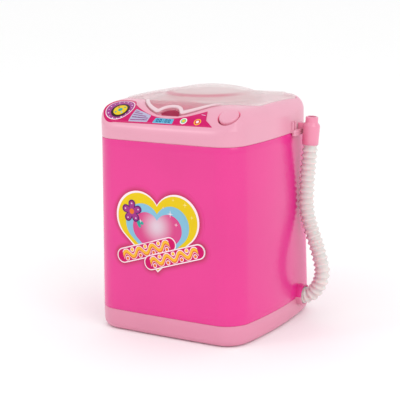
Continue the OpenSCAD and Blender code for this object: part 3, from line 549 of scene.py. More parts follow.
def outlet_arch(s, end):
    """Half of the outlet's collar, from the front round to the end angle in the YZ plane."""
    x0, x1 = COLLAR_X
    profile = [(x0, 5.4), (x1 - 0.4, 5.4), (x1, 5.8), (x1, COLLAR_R - 0.5),
               (x1 - 0.15, COLLAR_R - 0.15), (x1 - 0.5, COLLAR_R), (x0, COLLAR_R)]
    s.tube([[(x, OUTLET_Y - r * cos(a), OUTLET_Z + r * sin(a)) for x, r in profile]
            for a in np.radians(np.linspace(0.0, end, 33))])


shell_piece = body_shell()
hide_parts("body_shell")


# ---- base tray: the light band at the foot, with the battery door's recess underneath
BASE_EDGE = 4.7
FLOOR = 3.0
DOOR = (-31.5, -39.0, 39.0, -3.0)  # x0, y0, x1, y1
BAY = (-29.0, -37.0, 29.0, -5.0)
DOOR_GAP, DOOR_DEPTH = 0.2, 1.8
BAY_TOP, BAY_WALL = 17.5, 1.6
BASE_SCREWS = [(x, y) for x in (-42.5, 42.5) for y in (-38, 38)]
WELL_R, POST_R, PILOT_R = 2.7, 4.2, 1.4


def rectangle(x0, y0, x1, y1, step=3.0):
    return resample(np.array([(x0, y0), (x1, y0), (x1, y1), (x0, y1)], float), step)


def grown(box, g):
    return rectangle(box[0] - g, box[1] - g, box[2] + g, box[3] + g)


def base_tray():
    s = Shell()
    rows = [at(foot_ring(BASE_EDGE * (1 - sin(a))), BASE_EDGE * (1 - cos(a)))
            for a in np.radians(np.linspace(0, 90, 9))]
    rows.append(at(foot_ring(0), BASE_H / 2 + 2))
    rows += [at(foot_ring(i), BASE_H - dz) for dz, i in reversed(SEAM_ROUND)]
    rows += [at(foot_ring(WALL), z) for z in (BASE_H, BASE_H / 2, FLOOR)]
    s.strips(rows)
    door = grown(DOOR, DOOR_GAP)
    bay = grown(BAY, 0)
    wells = [circle(x, y, WELL_R, 28) for x, y in BASE_SCREWS]
    v, f = fill(foot_ring(BASE_EDGE), [door, *wells], 5.0)
    s.add(at(v, 0), f)
    s.strip(at(door, 0), at(door, DOOR_DEPTH))
    v, f = fill(door, [bay], 4.0)
    s.add(at(v, DOOR_DEPTH), f)
    s.strip(at(bay, DOOR_DEPTH), at(bay, FLOOR))
    v, f = fill(foot_ring(WALL), [bay], 6.0)
    s.add(at(v, FLOOR), f)
    for well, (x, y) in zip(wells, BASE_SCREWS):
        s.strip(at(well, 0), at(well, FLOOR - 0.5))
        s.cap(at(well, FLOOR - 0.5))
        post, pilot = circle(x, y, POST_R, 28), circle(x, y, PILOT_R, 28)
        s.strips([at(post, FLOOR), at(post, BASE_H), at(pilot, BASE_H), at(pilot, FLOOR),
                  at(post, FLOOR)])
    around_bay = grown(BAY, BAY_WALL)
    inner_top, outer_top = at(bay, BAY_TOP), at(around_bay, BAY_TOP + BAY_WALL)
    s.strip(at(bay, FLOOR), inner_top)
    s.strips([outer_top, at(around_bay, FLOOR), at(bay, FLOOR)])
    s.cap(inner_top)
    s.cap(outer_top)
    outlet_arch(s, -180.0)
    return s.make("base_band", [BASE_PINK])


tray_piece = base_tray()
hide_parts("base_tray")


# ---- plans shared by the lid, the frame's recess and the panel label
LID_HW, SHOULDER_Y, SHOULDER_D = 47.0, -18.5, 6.0
LOBE_HW, LOBE_Y, LOBE_R = 26.0, -42.0, 28.3
MOUTH_HW, MOUTH_Y, MOUTH_R = 22.5, -38.0, 13.5
FINGER_HW, FINGER_Y = 6.5, -39.5
RECESS, LID_GAP, LID_PROUD = 1.6, 0.3, 0.8
BARREL_HALF = 36.0
ARCH = (0.0, -42.5, 7.5)
BUTTON = (40.2, -39.0, 137.495)
BUTTON_TILT = asin(15.5 / 32)
TROUGH = (-36.3, 38.8, 36.3, 46.2)
BACK_Y = HINGE_Y - 6


def lid_loop():
    """The lid's closed plan at its nominal size, counter-clockwise, soft at the shoulders."""
    side = acos(LOBE_HW / LOBE_R)
    lobe = arc(0, LOBE_Y + LOBE_R, LOBE_R, np.linspace(-side, -pi / 2, 20)[::-1])
    half = np.vstack([lobe, [
        (LOBE_HW, SHOULDER_Y - SHOULDER_D), (LOBE_HW + SHOULDER_D, SHOULDER_Y),
        (LID_HW - 3, SHOULDER_Y), (LID_HW, SHOULDER_Y + 3)]])
    back = np.array([(LID_HW, BACK_Y), (BARREL_HALF, BACK_Y + 1), (BARREL_HALF, HINGE_Y)])
    loop = np.vstack([half[:0:-1] * (-1, 1), half, back, back[::-1] * (-1, 1)])
    return soften(loop, 2.4, 0.6, [*back[1:], *back[1:] * (-1, 1)])


LID_PLAN = lid_loop()


def in_opening(x, y, g):
    """Whether a point lies in the wash opening, grown by g."""
    half, front, r = MOUTH_HW + g, MOUTH_Y - g, MOUTH_R + g
    qx, qy = abs(x) - (half - r), (front + r) - y
    mouth = abs(x) <= half and y >= front and (min(qx, qy) < 0 or hypot(qx, qy) <= r)
    notch = abs(x) <= FINGER_HW + g and y >= FINGER_Y - g
    return hypot(x, y - TUB_Y) <= TUB_R + g or (y < TUB_Y and (mouth or notch))


def wash_opening(g=0.0, n=240):
    """The wash opening's edge, a star-shaped loop about the tub's axis."""
    out = []
    for t in around(n) + pi / n:
        dx, dy = cos(t), sin(t)
        lo, hi = TUB_R - 1, 60.0
        for _ in range(30):
            m = (lo + hi) / 2
            if in_opening(m * dx, TUB_Y + m * dy, g):
                lo = m
            else:
                hi = m
        out.append((lo * dx, TUB_Y + lo * dy))
    return np.array(out)


def button_place(r, t, h):
    """A point at radius r, angle t and height h about the button's axis."""
    s, c = sin(BUTTON_TILT), cos(BUTTON_TILT)
    x, y = r * cos(t), r * sin(t)
    return (BUTTON[0] + x, BUTTON[1] + y * c - h * s, BUTTON[2] + y * s + h * c)


def on_top(points, rise=0.0):
    """Plan points raised to the frame's outer surface, and by rise above it."""
    return at(points, top_z(points) + rise)


# ---- top frame
EDGE = ((0.5, 0.0), (0.32, 0.05), (0.15, 0.18), (0.04, 0.36), (0.0, 0.6))  # out, down
RIM_INSETS = (0, 0.12, 0.3, 0.6, 1.0, 1.5, 2.2, 3.1, 4.2, 5.5, 7, 8.6, 10.2)
MOUTH_EDGE = ((0.5, 0.0), (0.3, 0.06), (0.12, 0.22), (0.0, 0.5))  # out, down
HOLE_EDGE = ((7.5, 0.0), (7.2, 0.05), (6.9, 0.22), (6.65, 0.5), (6.5, 0.9))  # radius, down
BORE_R = HOLE_EDGE[-1][0]
TROUGH_Z = 135.8
CEILING, CEILING_EDGE, COLLAR_GAP = 4.2, 6.0, 0.7
SHELF = np.array([(50.6, 14.5), (55.9, 14.5), (55.9, 28.5), (50.6, 28.5)])
NOTCH = np.array([(52.9, 23.2), (54.6, 23.2), (54.6, 27.6), (52.9, 27.6)])
SHELF_Z, UNDER_SHELF_Z, UNDER_SHELF_X, RIB_Z = 122.2, 118.8, 53.6, 127.2


def top_frame():
    s = Shell()
    # outer wall and rounded rim
    rims = [frame_ring(i) for i in RIM_INSETS]
    wall_low, wall_high = SEAM + 0.4, top_z(rims[0])
    s.strips([at(frame_ring(i), SEAM + dz) for dz, i in SEAM_ROUND]
             + [at(rims[0], wall_low + (wall_high - wall_low) * k / 8) for k in range(1, 9)])
    # top surface round the lid's recess and the button
    recess = open_back(offset(LID_PLAN, LID_GAP))
    tops = [offset(recess, out) for out, _ in EDGE]
    hole_rings = rings([(r, 0.0) for r, _ in HOLE_EDGE], button_place, 48)
    hole = hole_rings[0][:, :2]
    v, f = fill(rims[0], [tops[0], hole], 1.7, rims[1:])
    s.add(on_top(v), f)
    s.strips([on_top(p, -down) for p, (_, down) in zip(tops, EDGE)])
    # rounded mouth of the button's hole, then its bore, whose deeper part is in the painted recess
    # pink
    rows = [on_top(p[:, :2], -down) for p, (_, down) in zip(hole_rings, HOLE_EDGE)]
    bore = rings([(BORE_R, -2.6), (BORE_R, -4.8)], button_place, 48)
    s.strips(rows[:3])
    s.strips(rows[2:] + bore, 1)
    # floor of the recess, with the wash opening; it ends at the hinge trough
    x0, y0, x1, y1 = TROUGH
    ahead = recess[:, 1] < y0 + 1e-6
    front, back = part_of(recess, ahead), part_of(recess, ~ahead)
    back_row = np.array([(x, y0) for x in np.linspace(front[-1][0], front[0][0], 37)[1:-1]])
    mouth = [wash_opening(out) for out, _ in MOUTH_EDGE]
    v, f = fill(np.vstack([front, back_row]), [mouth[0]], 2.2)
    s.add(on_top(v, -RECESS), f)
    s.strip(on_top(front, -EDGE[-1][1]), on_top(front, -RECESS), closed=False)
    rows = [on_top(p, -RECESS - down) for p, (_, down) in zip(mouth, MOUTH_EDGE)]
    s.strips(rows)
    # collar down to the tub's flange, and back up on its outside, all in the painted recess pink
    collar = wash_opening(COLLAR_GAP)
    s.strips([rows[-1], at(mouth[-1], TUB_TOP), at(collar, TUB_TOP), on_top(collar, -CEILING)], 1)
    # hinge trough
    wall = np.vstack([front[-1:], back, front[:1]])
    s.strip(on_top(wall, -EDGE[-1][1]), at(wall, TROUGH_Z), closed=False)
    sill = np.vstack([front[-1:], back_row, front[:1]])
    s.strip(on_top(sill, -RECESS), at(sill, TROUGH_Z), closed=False)
    v, f = fill(np.vstack([wall, back_row[::-1]]), [], 3.0)
    s.add(at(v, TROUGH_Z), f)
    # inside: wall, ceiling and the trough's underside
    inner = frame_ring(2.2)
    s.strips([at(frame_ring(0.4), SEAM), at(inner, SEAM), on_top(inner, -CEILING_EDGE)])
    under = rectangle(x0 - 2, y0 - 0.4, x1 + 2, y1 + 1.2)
    well = circle(BUTTON[0], BUTTON[1] + 2.2, 7.2, 48)
    v, f = fill(inner, [collar, under, well], 4.0)
    s.add(on_top(v, np.where(distance(v, inner) < 1e-3, -CEILING_EDGE, -CEILING)), f)
    s.strip(on_top(under, -CEILING), at(under, TROUGH_Z - 2))
    s.cap(at(under, TROUGH_Z - 2))
    s.strip(bore[-1], on_top(well, -CEILING))
    # hose bracket: shelf with a notch, the thinner part under it, and two ribs
    shelf = soften(resample(SHELF, 0.7), 0.7, 0.35)
    block(s, shelf, SEAM, SHELF_Z, resample(NOTCH, 0.8))
    under_shelf = np.maximum(SHELF, (UNDER_SHELF_X, -99))
    block(s, soften(resample(under_shelf, 0.7), 0.7, 0.35), UNDER_SHELF_Z, SEAM)
    for y in (15.0, 18.5):
        block(s, soft_box(50.6, y, 54.5, y + 1.5, 0.3, 0.25), SHELF_Z - 0.1, RIB_Z)
    return s.make("frame_shell", [TRIM_PINK, PAINTED_RECESS_PINK], 38)


def open_back(loop):
    """Squares the recess out to the hinge trough behind the lid's narrow back."""
    x0, y0, x1, y1 = TROUGH
    narrow = (loop[:, 1] > BACK_Y + 1.2) & (np.abs(loop[:, 0]) < BARREL_HALF + 1.5)
    lead = part_of(loop, ~narrow)
    k = lead[-1][1]
    side = np.array([(x1, k + (y1 - k) * j / 14) for j in range(1, 15)])
    side = np.vstack([[(x1, k)], [(x1, y0)], side[side[:, 1] > y0 + 0.1]])
    across = np.array([(x, y1) for x in np.linspace(x1, x0, 37)[1:-1]])
    return np.vstack([lead, side, across, side[::-1] * (-1, 1)])


def soft_box(x0, y0, x1, y1, r, step):
    """A plan rectangle with its corners rounded over about r."""
    return soften(rectangle(x0, y0, x1, y1, 0.5), r, step)


def block(s, loop, z0, z1, hole=None, r=0.3):
    """An upright block over a plan loop with a rounded top edge, and a hole through it."""
    s.strips([at(loop, z0), at(loop, z1 - r), at(offset(loop, -r * 0.3), z1 - r * 0.3),
              at(offset(loop, -r), z1)])
    holes = [] if hole is None else [hole]
    for base, z in ((loop, z0), (offset(loop, -r), z1)):
        v, f = fill(base, holes, 50.0)
        s.add(at(v, z), f)
    for edge in holes:
        s.strip(at(edge, z0), at(edge, z1))


frame_piece = top_frame()
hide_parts("top_frame")


# ---- lid: a milky plate that follows the frame, with a shallow dome and a finger arch
LID_T = 2.1
DOME_R, DOME_H, DOME_Y = 34.0, 6.8, 7.5
DOME_SPHERE = (DOME_R ** 2 + DOME_H ** 2) / (2 * DOME_H)
BARREL_R, PIN_R, PIN_HALF = 2.6, 1.5, 39.5


def lid_top(points):
    """Height of the lid's upper surface, whose dome runs out softly into the plate."""
    r2 = points[:, 0] ** 2 + (points[:, 1] - DOME_Y) ** 2
    dome = np.sqrt(np.maximum(DOME_SPHERE ** 2 - r2, 0)) - (DOME_SPHERE - DOME_H)
    dome = np.where(r2 < (DOME_R + 4) ** 2, -smooth_min(-dome, 0.0, 0.8), 0.0)
    return top_z(points) + LID_PROUD + dome


def with_arch(loop):
    """The lid's plan with the finger arch cut out of the lobe's edge."""
    cx, cy, r = ARCH
    kept = part_of(loop, np.hypot(*(loop - (cx, cy)).T) > r)
    a0 = atan2(kept[-1][1] - cy, kept[-1][0] - cx)
    a1 = atan2(kept[0][1] - cy, kept[0][0] - cx)
    return np.vstack([kept, arc(cx, cy, r, a0 + (a1 - a0) * np.arange(1, 34) / 34)])


def lid_outline():
    """The lid's edge, with the corners beside the finger arch eased into waves."""
    loop = resample(with_arch(LID_PLAN), 0.45)
    near = np.clip((-33 - loop[:, 1]) / 3, 0, 1)[:, None]
    return loop + (soften(loop, 1.5, 0.45) - loop) * near


LID_EDGE = lid_outline()


def lid_plate():
    s = Shell()
    edge = ((0.9, 0.0), (0.55, 0.07), (0.27, 0.25), (0.08, 0.52), (0.0, 0.85))  # in, down
    loops = [offset(LID_EDGE, -inset) for inset, _ in edge]
    v, f = fill(loops[0], [], 1.5)
    s.add(at(v, lid_top(v)), f)
    low, under = loops[-1], loops[2]
    s.strips([at(p, lid_top(p) - down) for p, (_, down) in zip(loops, edge)]
             + [on_top(low, LID_PROUD - LID_T + 0.3), on_top(under, LID_PROUD - LID_T)])
    v, f = fill(under, [], 2.0)
    s.add(at(v, lid_top(v) - LID_T), f)
    return s.make("lid_shell", [LID_CLEAR], 40, "lid")


def rod(s, r, x0, x1, y, z, n=32, soft=0.25):
    """A closed round bar along x with softened ends."""
    t = around(n)
    s.tube([np.stack([np.full(n, x), y + q * np.cos(t), z + q * np.sin(t)], 1)
            for x, q in ((x0, r - soft), (x0 + soft, r), (x1 - soft, r), (x1, r - soft))])


def lid_barrel():
    s = Shell()
    rod(s, BARREL_R, -BARREL_HALF, BARREL_HALF, HINGE_Y, HINGE_Z)
    rod(s, PIN_R, -PIN_HALF, -BARREL_HALF + 0.5, HINGE_Y, HINGE_Z)
    rod(s, PIN_R, BARREL_HALF - 0.5, PIN_HALF, HINGE_Y, HINGE_Z)
    return s.make("lid_barrel", [LID_CLEAR], body="lid")


def lid_bead():
    """The raised rim along the lobe and the finger arch."""
    path = offset(LID_EDGE, -1.2)
    path = part_of(path, path[:, 1] < SHOULDER_Y - 3)
    normal = normals(np.gradient(path, axis=0))
    step = np.arange(len(path))
    taper = np.clip(np.minimum(step, step[::-1]) / 8, 0.05, 1)
    section = ((-1.1, -0.4), (-1.1, 0.05), (-0.9, 0.28), (-0.5, 0.42),
               (0.5, 0.42), (0.9, 0.28), (1.1, 0.05), (1.1, -0.4))
    s = Shell()
    rows = []
    for u, h in section:
        p = path + normal * (u * taper[:, None])
        rows.append(at(p, lid_top(p) + h * np.where(h > 0, taper, 1)))
    s.strips(rows + [rows[0]], closed=False)
    s.cap([r[0] for r in rows])
    s.cap([r[-1] for r in rows])
    return s.make("lid_bead", [LID_RIM], 50, "lid")


lid = lid_plate()
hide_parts("lid")
for piece in (lid, lid_barrel(), lid_bead()):
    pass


# ---- push button
def push_button():
    s = Shell()
    sphere = 30.0
    crown = [(r, 1.4 - (sphere - sqrt(sphere ** 2 - r * r)))
             for r in (0.4, 1.5, 2.8, 4.0, 4.8, 5.2)]
    side = [(5.6, 0.68), (5.9, 0.25), (6.08, -0.3), (6.15, -0.9), (6.2, -1.2), (6.2, -5.1)]
    flange = [(7.5, -5.1), (7.6, -5.2), (7.6, -6.2), (7.5, -6.3)]
    stem = [(1.6, -6.3), (1.6, -8.1), (1.5, -8.2), (0.4, -8.2)]
    s.tube(rings(crown + side + flange + stem, button_place, 72))
    return s.make("button_cap", [TRIM_PINK], 40, "button")


button_piece = push_button()
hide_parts("push_button")


# the button's coil spring
COIL_LOW, COIL_HIGH, COIL_R, WIRE_R = -10.6, -6.3, 3.6, 0.35
COIL_TURNS, BUTTON_TRAVEL = 4, 2.0


def button_coil():
    """Round wire wound into a coil with a flat half turn at each end."""
    s = Shell()
    steps = COIL_TURNS * 24
    rows = []
    for i in range(steps + 1):
        t = 2 * pi * i / 24
        part = np.clip((i / 24 - 0.5) / (COIL_TURNS - 1), 0, 1)
        h = COIL_LOW + WIRE_R + (COIL_HIGH - COIL_LOW - 2 * WIRE_R) * part
        rows.append([button_place(COIL_R + WIRE_R * cos(a), t, h + WIRE_R * sin(a))
                     for a in around(10)])
    s.tube(rows)
    return s.make("button_coil", [STEEL], 60)


coil_piece = button_coil()
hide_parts("button_spring")
tuple(c * MM for c in button_place(0, 0, COIL_LOW))
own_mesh(coil_piece)


# ---- drain hose: a ribbed tube along the listed route, which the part shares
HOSE_R, RIB_PITCH, RIB_H = 5.0, 3.65, 1.0
CUFF_L, CUFF_R = 2.4, 5.2
HOSE_ROUTE = [(55.5, 14.7), (58.3, 14.7), (60.9, 15.6), (63.2, 17.2), (65.3, 19.6),
              (67, 22.4), (68.4, 25.7), (69.2, 29.3), (69.3, 33.2), (68.7, 37), (67.6, 41.5),
              (66.2, 46), (64.7, 50.5), (63.1, 55), (61.5, 59.5), (60.1, 64), (59, 69),
              (58.4, 74), (58.4, 80.5), (58.7, 87), (59.2, 93.5), (59.8, 100), (60.55, 106.5),
              (61, 112.5)]


def spline(points, step):
    """Catmull-Rom curve through the points, sampled about every step."""
    p = np.array(points, float)
    p = np.vstack([[2 * p[0] - p[1]], p, [2 * p[-1] - p[-2]]])
    out = []
    for i in range(1, len(p) - 2):
        n = max(2, int(round(np.hypot(*(p[i + 1] - p[i])) / step)))
        for t in np.arange(n) / n:
            out.append(0.5 * (2 * p[i] + (p[i + 1] - p[i - 1]) * t
                              + (2 * p[i - 1] - 5 * p[i] + 4 * p[i + 1] - p[i + 2]) * t * t
                              + (3 * p[i] - p[i - 1] - 3 * p[i + 1] + p[i + 2]) * t ** 3))
    out.append(p[-2])
    return np.array(out)


hose_line = spline(HOSE_ROUTE, 0.25)
hose_steps = np.hypot(*np.diff(hose_line, axis=0).T)
HOSE_LENGTH = float(hose_steps.sum())


def drain_hose():
    s = Shell()
    run = np.concatenate([[0], np.cumsum(hose_steps)])
    sides = normals(np.gradient(hose_line, axis=0))
    t = around(48)
    ribs = round(HOSE_LENGTH / RIB_PITCH)
    rows = []
    for (x, z), (nx, nz), length in zip(hose_line, sides, run):
        wave = 0.5 + 0.5 * cos(2 * pi * ribs * length / HOSE_LENGTH)
        r = CUFF_R if length < CUFF_L else HOSE_R - RIB_H * (1 - wave ** 1.5)
        rows.append(np.stack([x - nx * r * np.cos(t), OUTLET_Y + r * np.sin(t),
                              z - nz * r * np.cos(t)], 1))
    s.tube(rows)
    return s.make("ribbed_hose", [HOSE], 60)


def hose_nozzle():
    """Hose end with a hook that hangs in the bracket's notch."""
    s = Shell()
    tilt = radians(4.0)
    x0, z0 = HOSE_ROUTE[-1]

    def place(r, t, h):
        x, y = r * cos(t), r * sin(t)
        return (x0 + x * cos(tilt) + h * sin(tilt), OUTLET_Y + y,
                z0 - x * sin(tilt) + h * cos(tilt))

    profile = [(2.6, 0.1), (4.85, 0.0), (5.1, 0.3), (5.15, 4.0), (5.35, 11.4), (5.3, 11.9),
               (5.1, 12.3), (4.1, 13.6), (3.95, 13.9), (3.9, 14.3), (3.9, 16.8), (3.8, 17.2),
               (3.4, 17.4), (2.8, 17.4), (2.6, 17.2)]
    rows = rings(profile, place, 64)
    s.strips(rows + [rows[0]])
    # the hook's arm on the shelf, and its tab down through the notch
    block(s, soft_box(53.1, 23.5, 57.8, 27.3, 0.5, 0.4), SHELF_Z, 125.8)
    tab = soften(rectangle(53.1, 23.5, 54.3, 27.3, 0.4), 0.3, 0.3)
    block(s, tab, 119.2, SHELF_Z + 0.2)
    return s.make("nozzle", [NOZZLE_PINK], 40)


hose = drain_hose()
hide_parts("drain_hose")
nozzle = hose_nozzle()
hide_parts("hose_nozzle")


# ---- labels: thin plates, with each printed colour as a film on top
LABEL_T, INK_T = 0.25, 0.06
DIAL, DIAL_R = (-37.25, -37.4), 10.2
PANEL_X, PANEL_Y, PANEL_W = -37.25, -47.2, 70.3
HOLLOW_R, HOLLOW_Y = 43.3, -0.5
HEART = (-3.5, 41.5, 59.0)  # tip x, tip z, width
RIBBON_H, RIBBON_L, RIBBON_TILT = 9.5, 35.0, radians(17.5)
RIBBONS = ((-21.25, 14.75), (-2.75, 6.75))
WAVE_H, WAVES = 2.0, 7  # height and number of half waves
HALO = 3.4


def front_place(v, lift):
    """Points on the front wall, raised by lift, from points relative to the heart's tip."""
    x, z = (np.asarray(v, float) + HEART[:2]).T
    rise = (z - BASE_H) / BODY_H
    hw, hd = FOOT_HW - SIDE_DRAFT * rise, FOOT_HD - FRONT_DRAFT * rise
    cx = hw - CORNER_R - SIDE_BOW
    fr = (FRONT_BOW ** 2 + cx ** 2) / (2 * FRONT_BOW)
    y = -(hd - fr - CORNER_R + np.sqrt((fr + CORNER_R) ** 2 - x ** 2))
    return np.column_stack([x, y - lift, z])


def plate(s, loop, place, low, high, mat=0, holes=(), spacing=1.2):
    """A closed thin plate between two heights above the surface."""
    v, f = fill(loop, holes, spacing)
    for lift in (low, high):
        s.add(place(v, lift), f, mat)
    for edge in (loop, *holes):
        s.strip(place(edge, low), place(edge, high), mat)


def printed(name, rows, place, spacing=1.2):
    """One piece with all the films of a label: rows of loop, level, material and holes."""
    inks = list(dict.fromkeys(row[2] for row in rows))
    s = Shell()
    for loop, level, ink, *holes in rows:
        low = LABEL_T + level * INK_T
        plate(s, loop, place, low, low + INK_T, inks.index(ink), holes, spacing)
    return s.make(name, [INK[ink] for ink in inks], 50)


def union_outline(loops, step=0.4):
    """Outer edge of overlapping loops, counter-clockwise."""
    loops = [resample(loop, step) for loop in loops]
    verts, tris, mids = delaunay(loops)
    kept = np.any([inside(mids, loop) for loop in loops], axis=0)
    sides = {(a, b) for f in tris[kept].tolist() for a, b in zip(f, (f[1], f[2], f[0]))}
    rim = {a: b for a, b in sides if (b, a) not in sides}
    walk = [min(rim)]
    while rim[walk[-1]] != walk[0]:
        walk.append(rim[walk[-1]])
    return verts[walk]


# ---- panel label: a round end with a dial, and a strip with a swallow tail
def panel_outline():
    tip = (PANEL_X + PANEL_W - 8.6, PANEL_Y + 10.7)
    strip = [(PANEL_X, PANEL_Y - 0.3), (PANEL_X + PANEL_W, PANEL_Y + 0.5),
             (PANEL_X + PANEL_W - 5.7, PANEL_Y + 3.8)]
    a0, a1 = atan2(tip[1] - HOLLOW_Y, tip[0]), radians(-133.2)
    hollow = arc(0, HOLLOW_Y, HOLLOW_R, np.linspace(a0, a1, 60))
    strip = np.vstack([strip, hollow, [(PANEL_X, PANEL_Y + 10)]])
    return union_outline([circle(*DIAL, DIAL_R, 120), strip])


def dot(x, y, r, n=72):
    """Plan loop of a circle that is round on the slope."""
    t = around(n)
    lean = asin((SLOPE_Y - y) / SLOPE_R)
    return np.stack([x + r * np.cos(t),
                     SLOPE_Y - SLOPE_R * np.sin(lean - r * np.sin(t) / SLOPE_R)], 1)


def quad(*corners):
    return soften(np.array(corners, float), 0.4, 0.3)


def bar(cx, cy, w, h, angle=0.0):
    """A rectangle turned about its middle."""
    return spun(rectangle(-w / 2, -h / 2, w / 2, h / 2, 0.4), angle, cx, cy)


def star(cx, cy, r):
    """A four-pointed sparkle."""
    return arc(cx, cy, np.where(np.arange(8) % 2, r * 0.16, r), around(8))


RING, RING_R, RING_T = (-36.1, -38.9), 9.5, 0.45
KNOB = (-35.2, -40.1)
LIST_BARS = ((-24.2, -12.6, -45.7), (-24.0, -12.4, -44.4), (-23.8, -14.2, -43.1),
             (-23.7, -17.6, -41.7), (-23.6, -20.8, -40.4))  # x0, x1, y
LAMP_Y = -44.6


def panel_art():
    rows = [(dot(*RING, RING_R), 0, "white", dot(*RING, RING_R - RING_T)),
            (dot(*RING, RING_R - RING_T), 0, "purple"), (dot(*KNOB, 6.1), 1, "maroon"),
            (dot(*KNOB, 4.5), 2, "yellow"), (dot(*KNOB, 1.5), 3, "teal")]
    for k, t in enumerate(around(16) + 0.2):
        x, y = RING[0] + 0.3 + 7.6 * cos(t), RING[1] - 0.3 + 6.7 * sin(t)
        rows.append((dot(x, y, 0.5 if k % 2 else 0.32, 14), 1, "lilac"))
    for k, ink in enumerate(("teal", "red", "teal", "blue")):
        t = pi / 4 + k * pi / 2
        x, y = KNOB[0] + 3.1 * cos(t), KNOB[1] + 2.75 * sin(t)
        rows.append((dot(x, y, 0.6, 16), 3, ink))
    rows.append((quad((-25.2, -46.8), (-11.9, -46.5), (-11.1, -42.7), (-24.2, -38.6)), 0, "silver"))
    for k, (x0, x1, y) in enumerate(LIST_BARS):
        lean = radians(2 - 3 * k)
        rows.append((bar((x0 + x1) / 2, y, x1 - x0, 0.55, lean), 1, "dark_lilac"))
    rows.append((quad((-8.1, -46.75), (5.8, -46.6), (5.9, -43.9), (-6.9, -43.9)), 0, "sky"))
    rows += [(bar(x, -45.3, 1.5, 1.7, -0.05), 1, "navy", bar(x, -45.3, 0.75, 0.95, -0.05))
             for x in (-5.2, -3.0, 0.9, 3.1)]
    rows += [(bar(-1.05, y, 0.42, 0.38), 1, "navy") for y in (-45.75, -44.9)]
    for x, ring, core, spot in ((12.7, "white", "green", "yellow"), (22.2, "gold", "red", "white")):
        hole = dot(x, LAMP_Y, 1.75, 32)
        rows += [(dot(x, LAMP_Y, 2.3, 32), 0, ring, hole), (hole, 0, core),
                 (dot(x, LAMP_Y, 0.95, 20), 1, spot)]
    rows.append((bar(23.6, -39.8, 2.8, 0.35, -0.12), 0, "lilac"))
    return printed("panel_print", rows, on_top)


# ---- front label: nested hearts behind two slanted ribbons with a wave and beads each
def heart_outline(w, lift=0.0, grow=0.0):
    """A heart of width w with its tip at height lift, grown by grow on every side."""
    lobe, cx, cy = w * 0.27, w / 2 - w * 0.27, w * 0.56
    d = hypot(cx, cy)
    a = atan2(cy, cx) - asin(lobe / d)
    foot = sqrt(d * d - lobe * lobe)
    start = atan2(foot * sin(a) - cy, foot * cos(a) - cx)
    r = lobe + grow
    end = acos(-cx / r)
    half = arc(cx, cy + lift, r, np.linspace(start, end, 60))
    tip = (0, lift - grow / cos(a))
    return np.vstack([[tip], half, half[::-1][1:] * (-1, 1)])


def ribbon_outline(k, grow=0.0):
    """Ribbon k, grown by grow on every side."""
    x0, y0 = RIBBONS[k]
    r = RIBBON_H / 2 + grow
    t = np.linspace(-pi / 2, pi / 2, 24)
    ends = [arc(x0 + RIBBON_L, y0, r, t), arc(x0, y0, -r, t)]
    return spun(np.vstack(ends), RIBBON_TILT)


def wave(x0, y0, half):
    """A running wave along a ribbon, from the middle of one round end to the other."""
    x = np.linspace(0, RIBBON_L, 90)
    y = WAVE_H * np.sin(x * WAVES * pi / RIBBON_L)
    climb = WAVE_H * WAVES * pi / RIBBON_L * np.cos(x * WAVES * pi / RIBBON_L)
    reach = half * np.sqrt(1 + climb ** 2) ** 0.6
    low, high = (np.stack([x0 + x, y0 + y + r], 1) for r in (-reach, reach))
    return spun(np.vstack([low, high[::-1]]), RIBBON_TILT)


def label_outline(grow=0.0):
    return union_outline([heart_outline(HEART[2], 0.0, grow),
                          ribbon_outline(0, grow), ribbon_outline(1, grow)])


def petal(cx, cz, length, width, angle):
    """A rounded petal that starts at a point."""
    t = around(28)
    u = length * (0.5 - 0.5 * np.cos(t))
    v = width * 0.5 * np.sin(t) * (0.55 + 0.45 * u / length)
    return spun(np.stack([u, v], 1), angle, cx, cz)


FLOWER = (-18.0, 36.0)


def front_art():
    rows = [(heart_outline(56.4, 1.0), 0, "yellow"), (heart_outline(45.0, 4.2), 1, "blue"),
            (heart_outline(34.8, 7.5), 2, "glow")]
    for k, (x0, y0) in enumerate(RIBBONS):
        level = 3 + 4 * k
        rows += [(ribbon_outline(k, -0.05), level, "white"),
                 (ribbon_outline(k, -0.7), level + 1, "magenta")]
        rows += [(wave(x0, y0 + rise, half), level + step, shade) for half, rise, step, shade in
                 ((1.75, 0.0, 2, "white"), (1.3, -0.1, 3, "orange"), (0.75, 0.25, 4, "gold"))]
        for i in range(WAVES):
            x = x0 + RIBBON_L * (i + 0.5) / WAVES
            middle = spun((x, y0 + (2.3 if i % 2 else -2.3)), RIBBON_TILT)
            rows += [(circle(*middle, 1.45, 24), level + 2, "white"),
                     (circle(*middle, 1.0, 20), level + 3, "gold" if i % 2 else "orange")]
    x, z = FLOWER
    for k in range(5):
        a = radians(90 + 72 * k)
        rows += [(petal(x, z, 7.2, 6.2, a), 3, "dark_purple"),
                 (petal(x, z, 6.3, 4.6, a), 4, "purple"),
                 (circle(x + 4.9 * cos(a), z + 4.9 * sin(a), 0.5, 14), 5, "lilac")]
    rows.append((circle(x, z, 1.7, 24), 5, "orange"))
    rows += [(petal(x + 3.4, z - 4.6, 5.6, 2.6, radians(a)), 2.5, "teal") for a in (-28, -62)]
    rows += [(star(*place), 3, "white") for place in
             ((9.5, 37.0, 2.3), (13.6, 30.8, 1.3), (-11.8, 30.6, 1.4), (4.6, 40.2, 1.0))]
    rows += [(star(*place), 1, "cream") for place in
             ((19.8, 43.4, 1.8), (24.4, 36.2, 1.3), (11.6, 45.6, 1.1))]
    return printed("front_print", rows, front_place, 2.0)


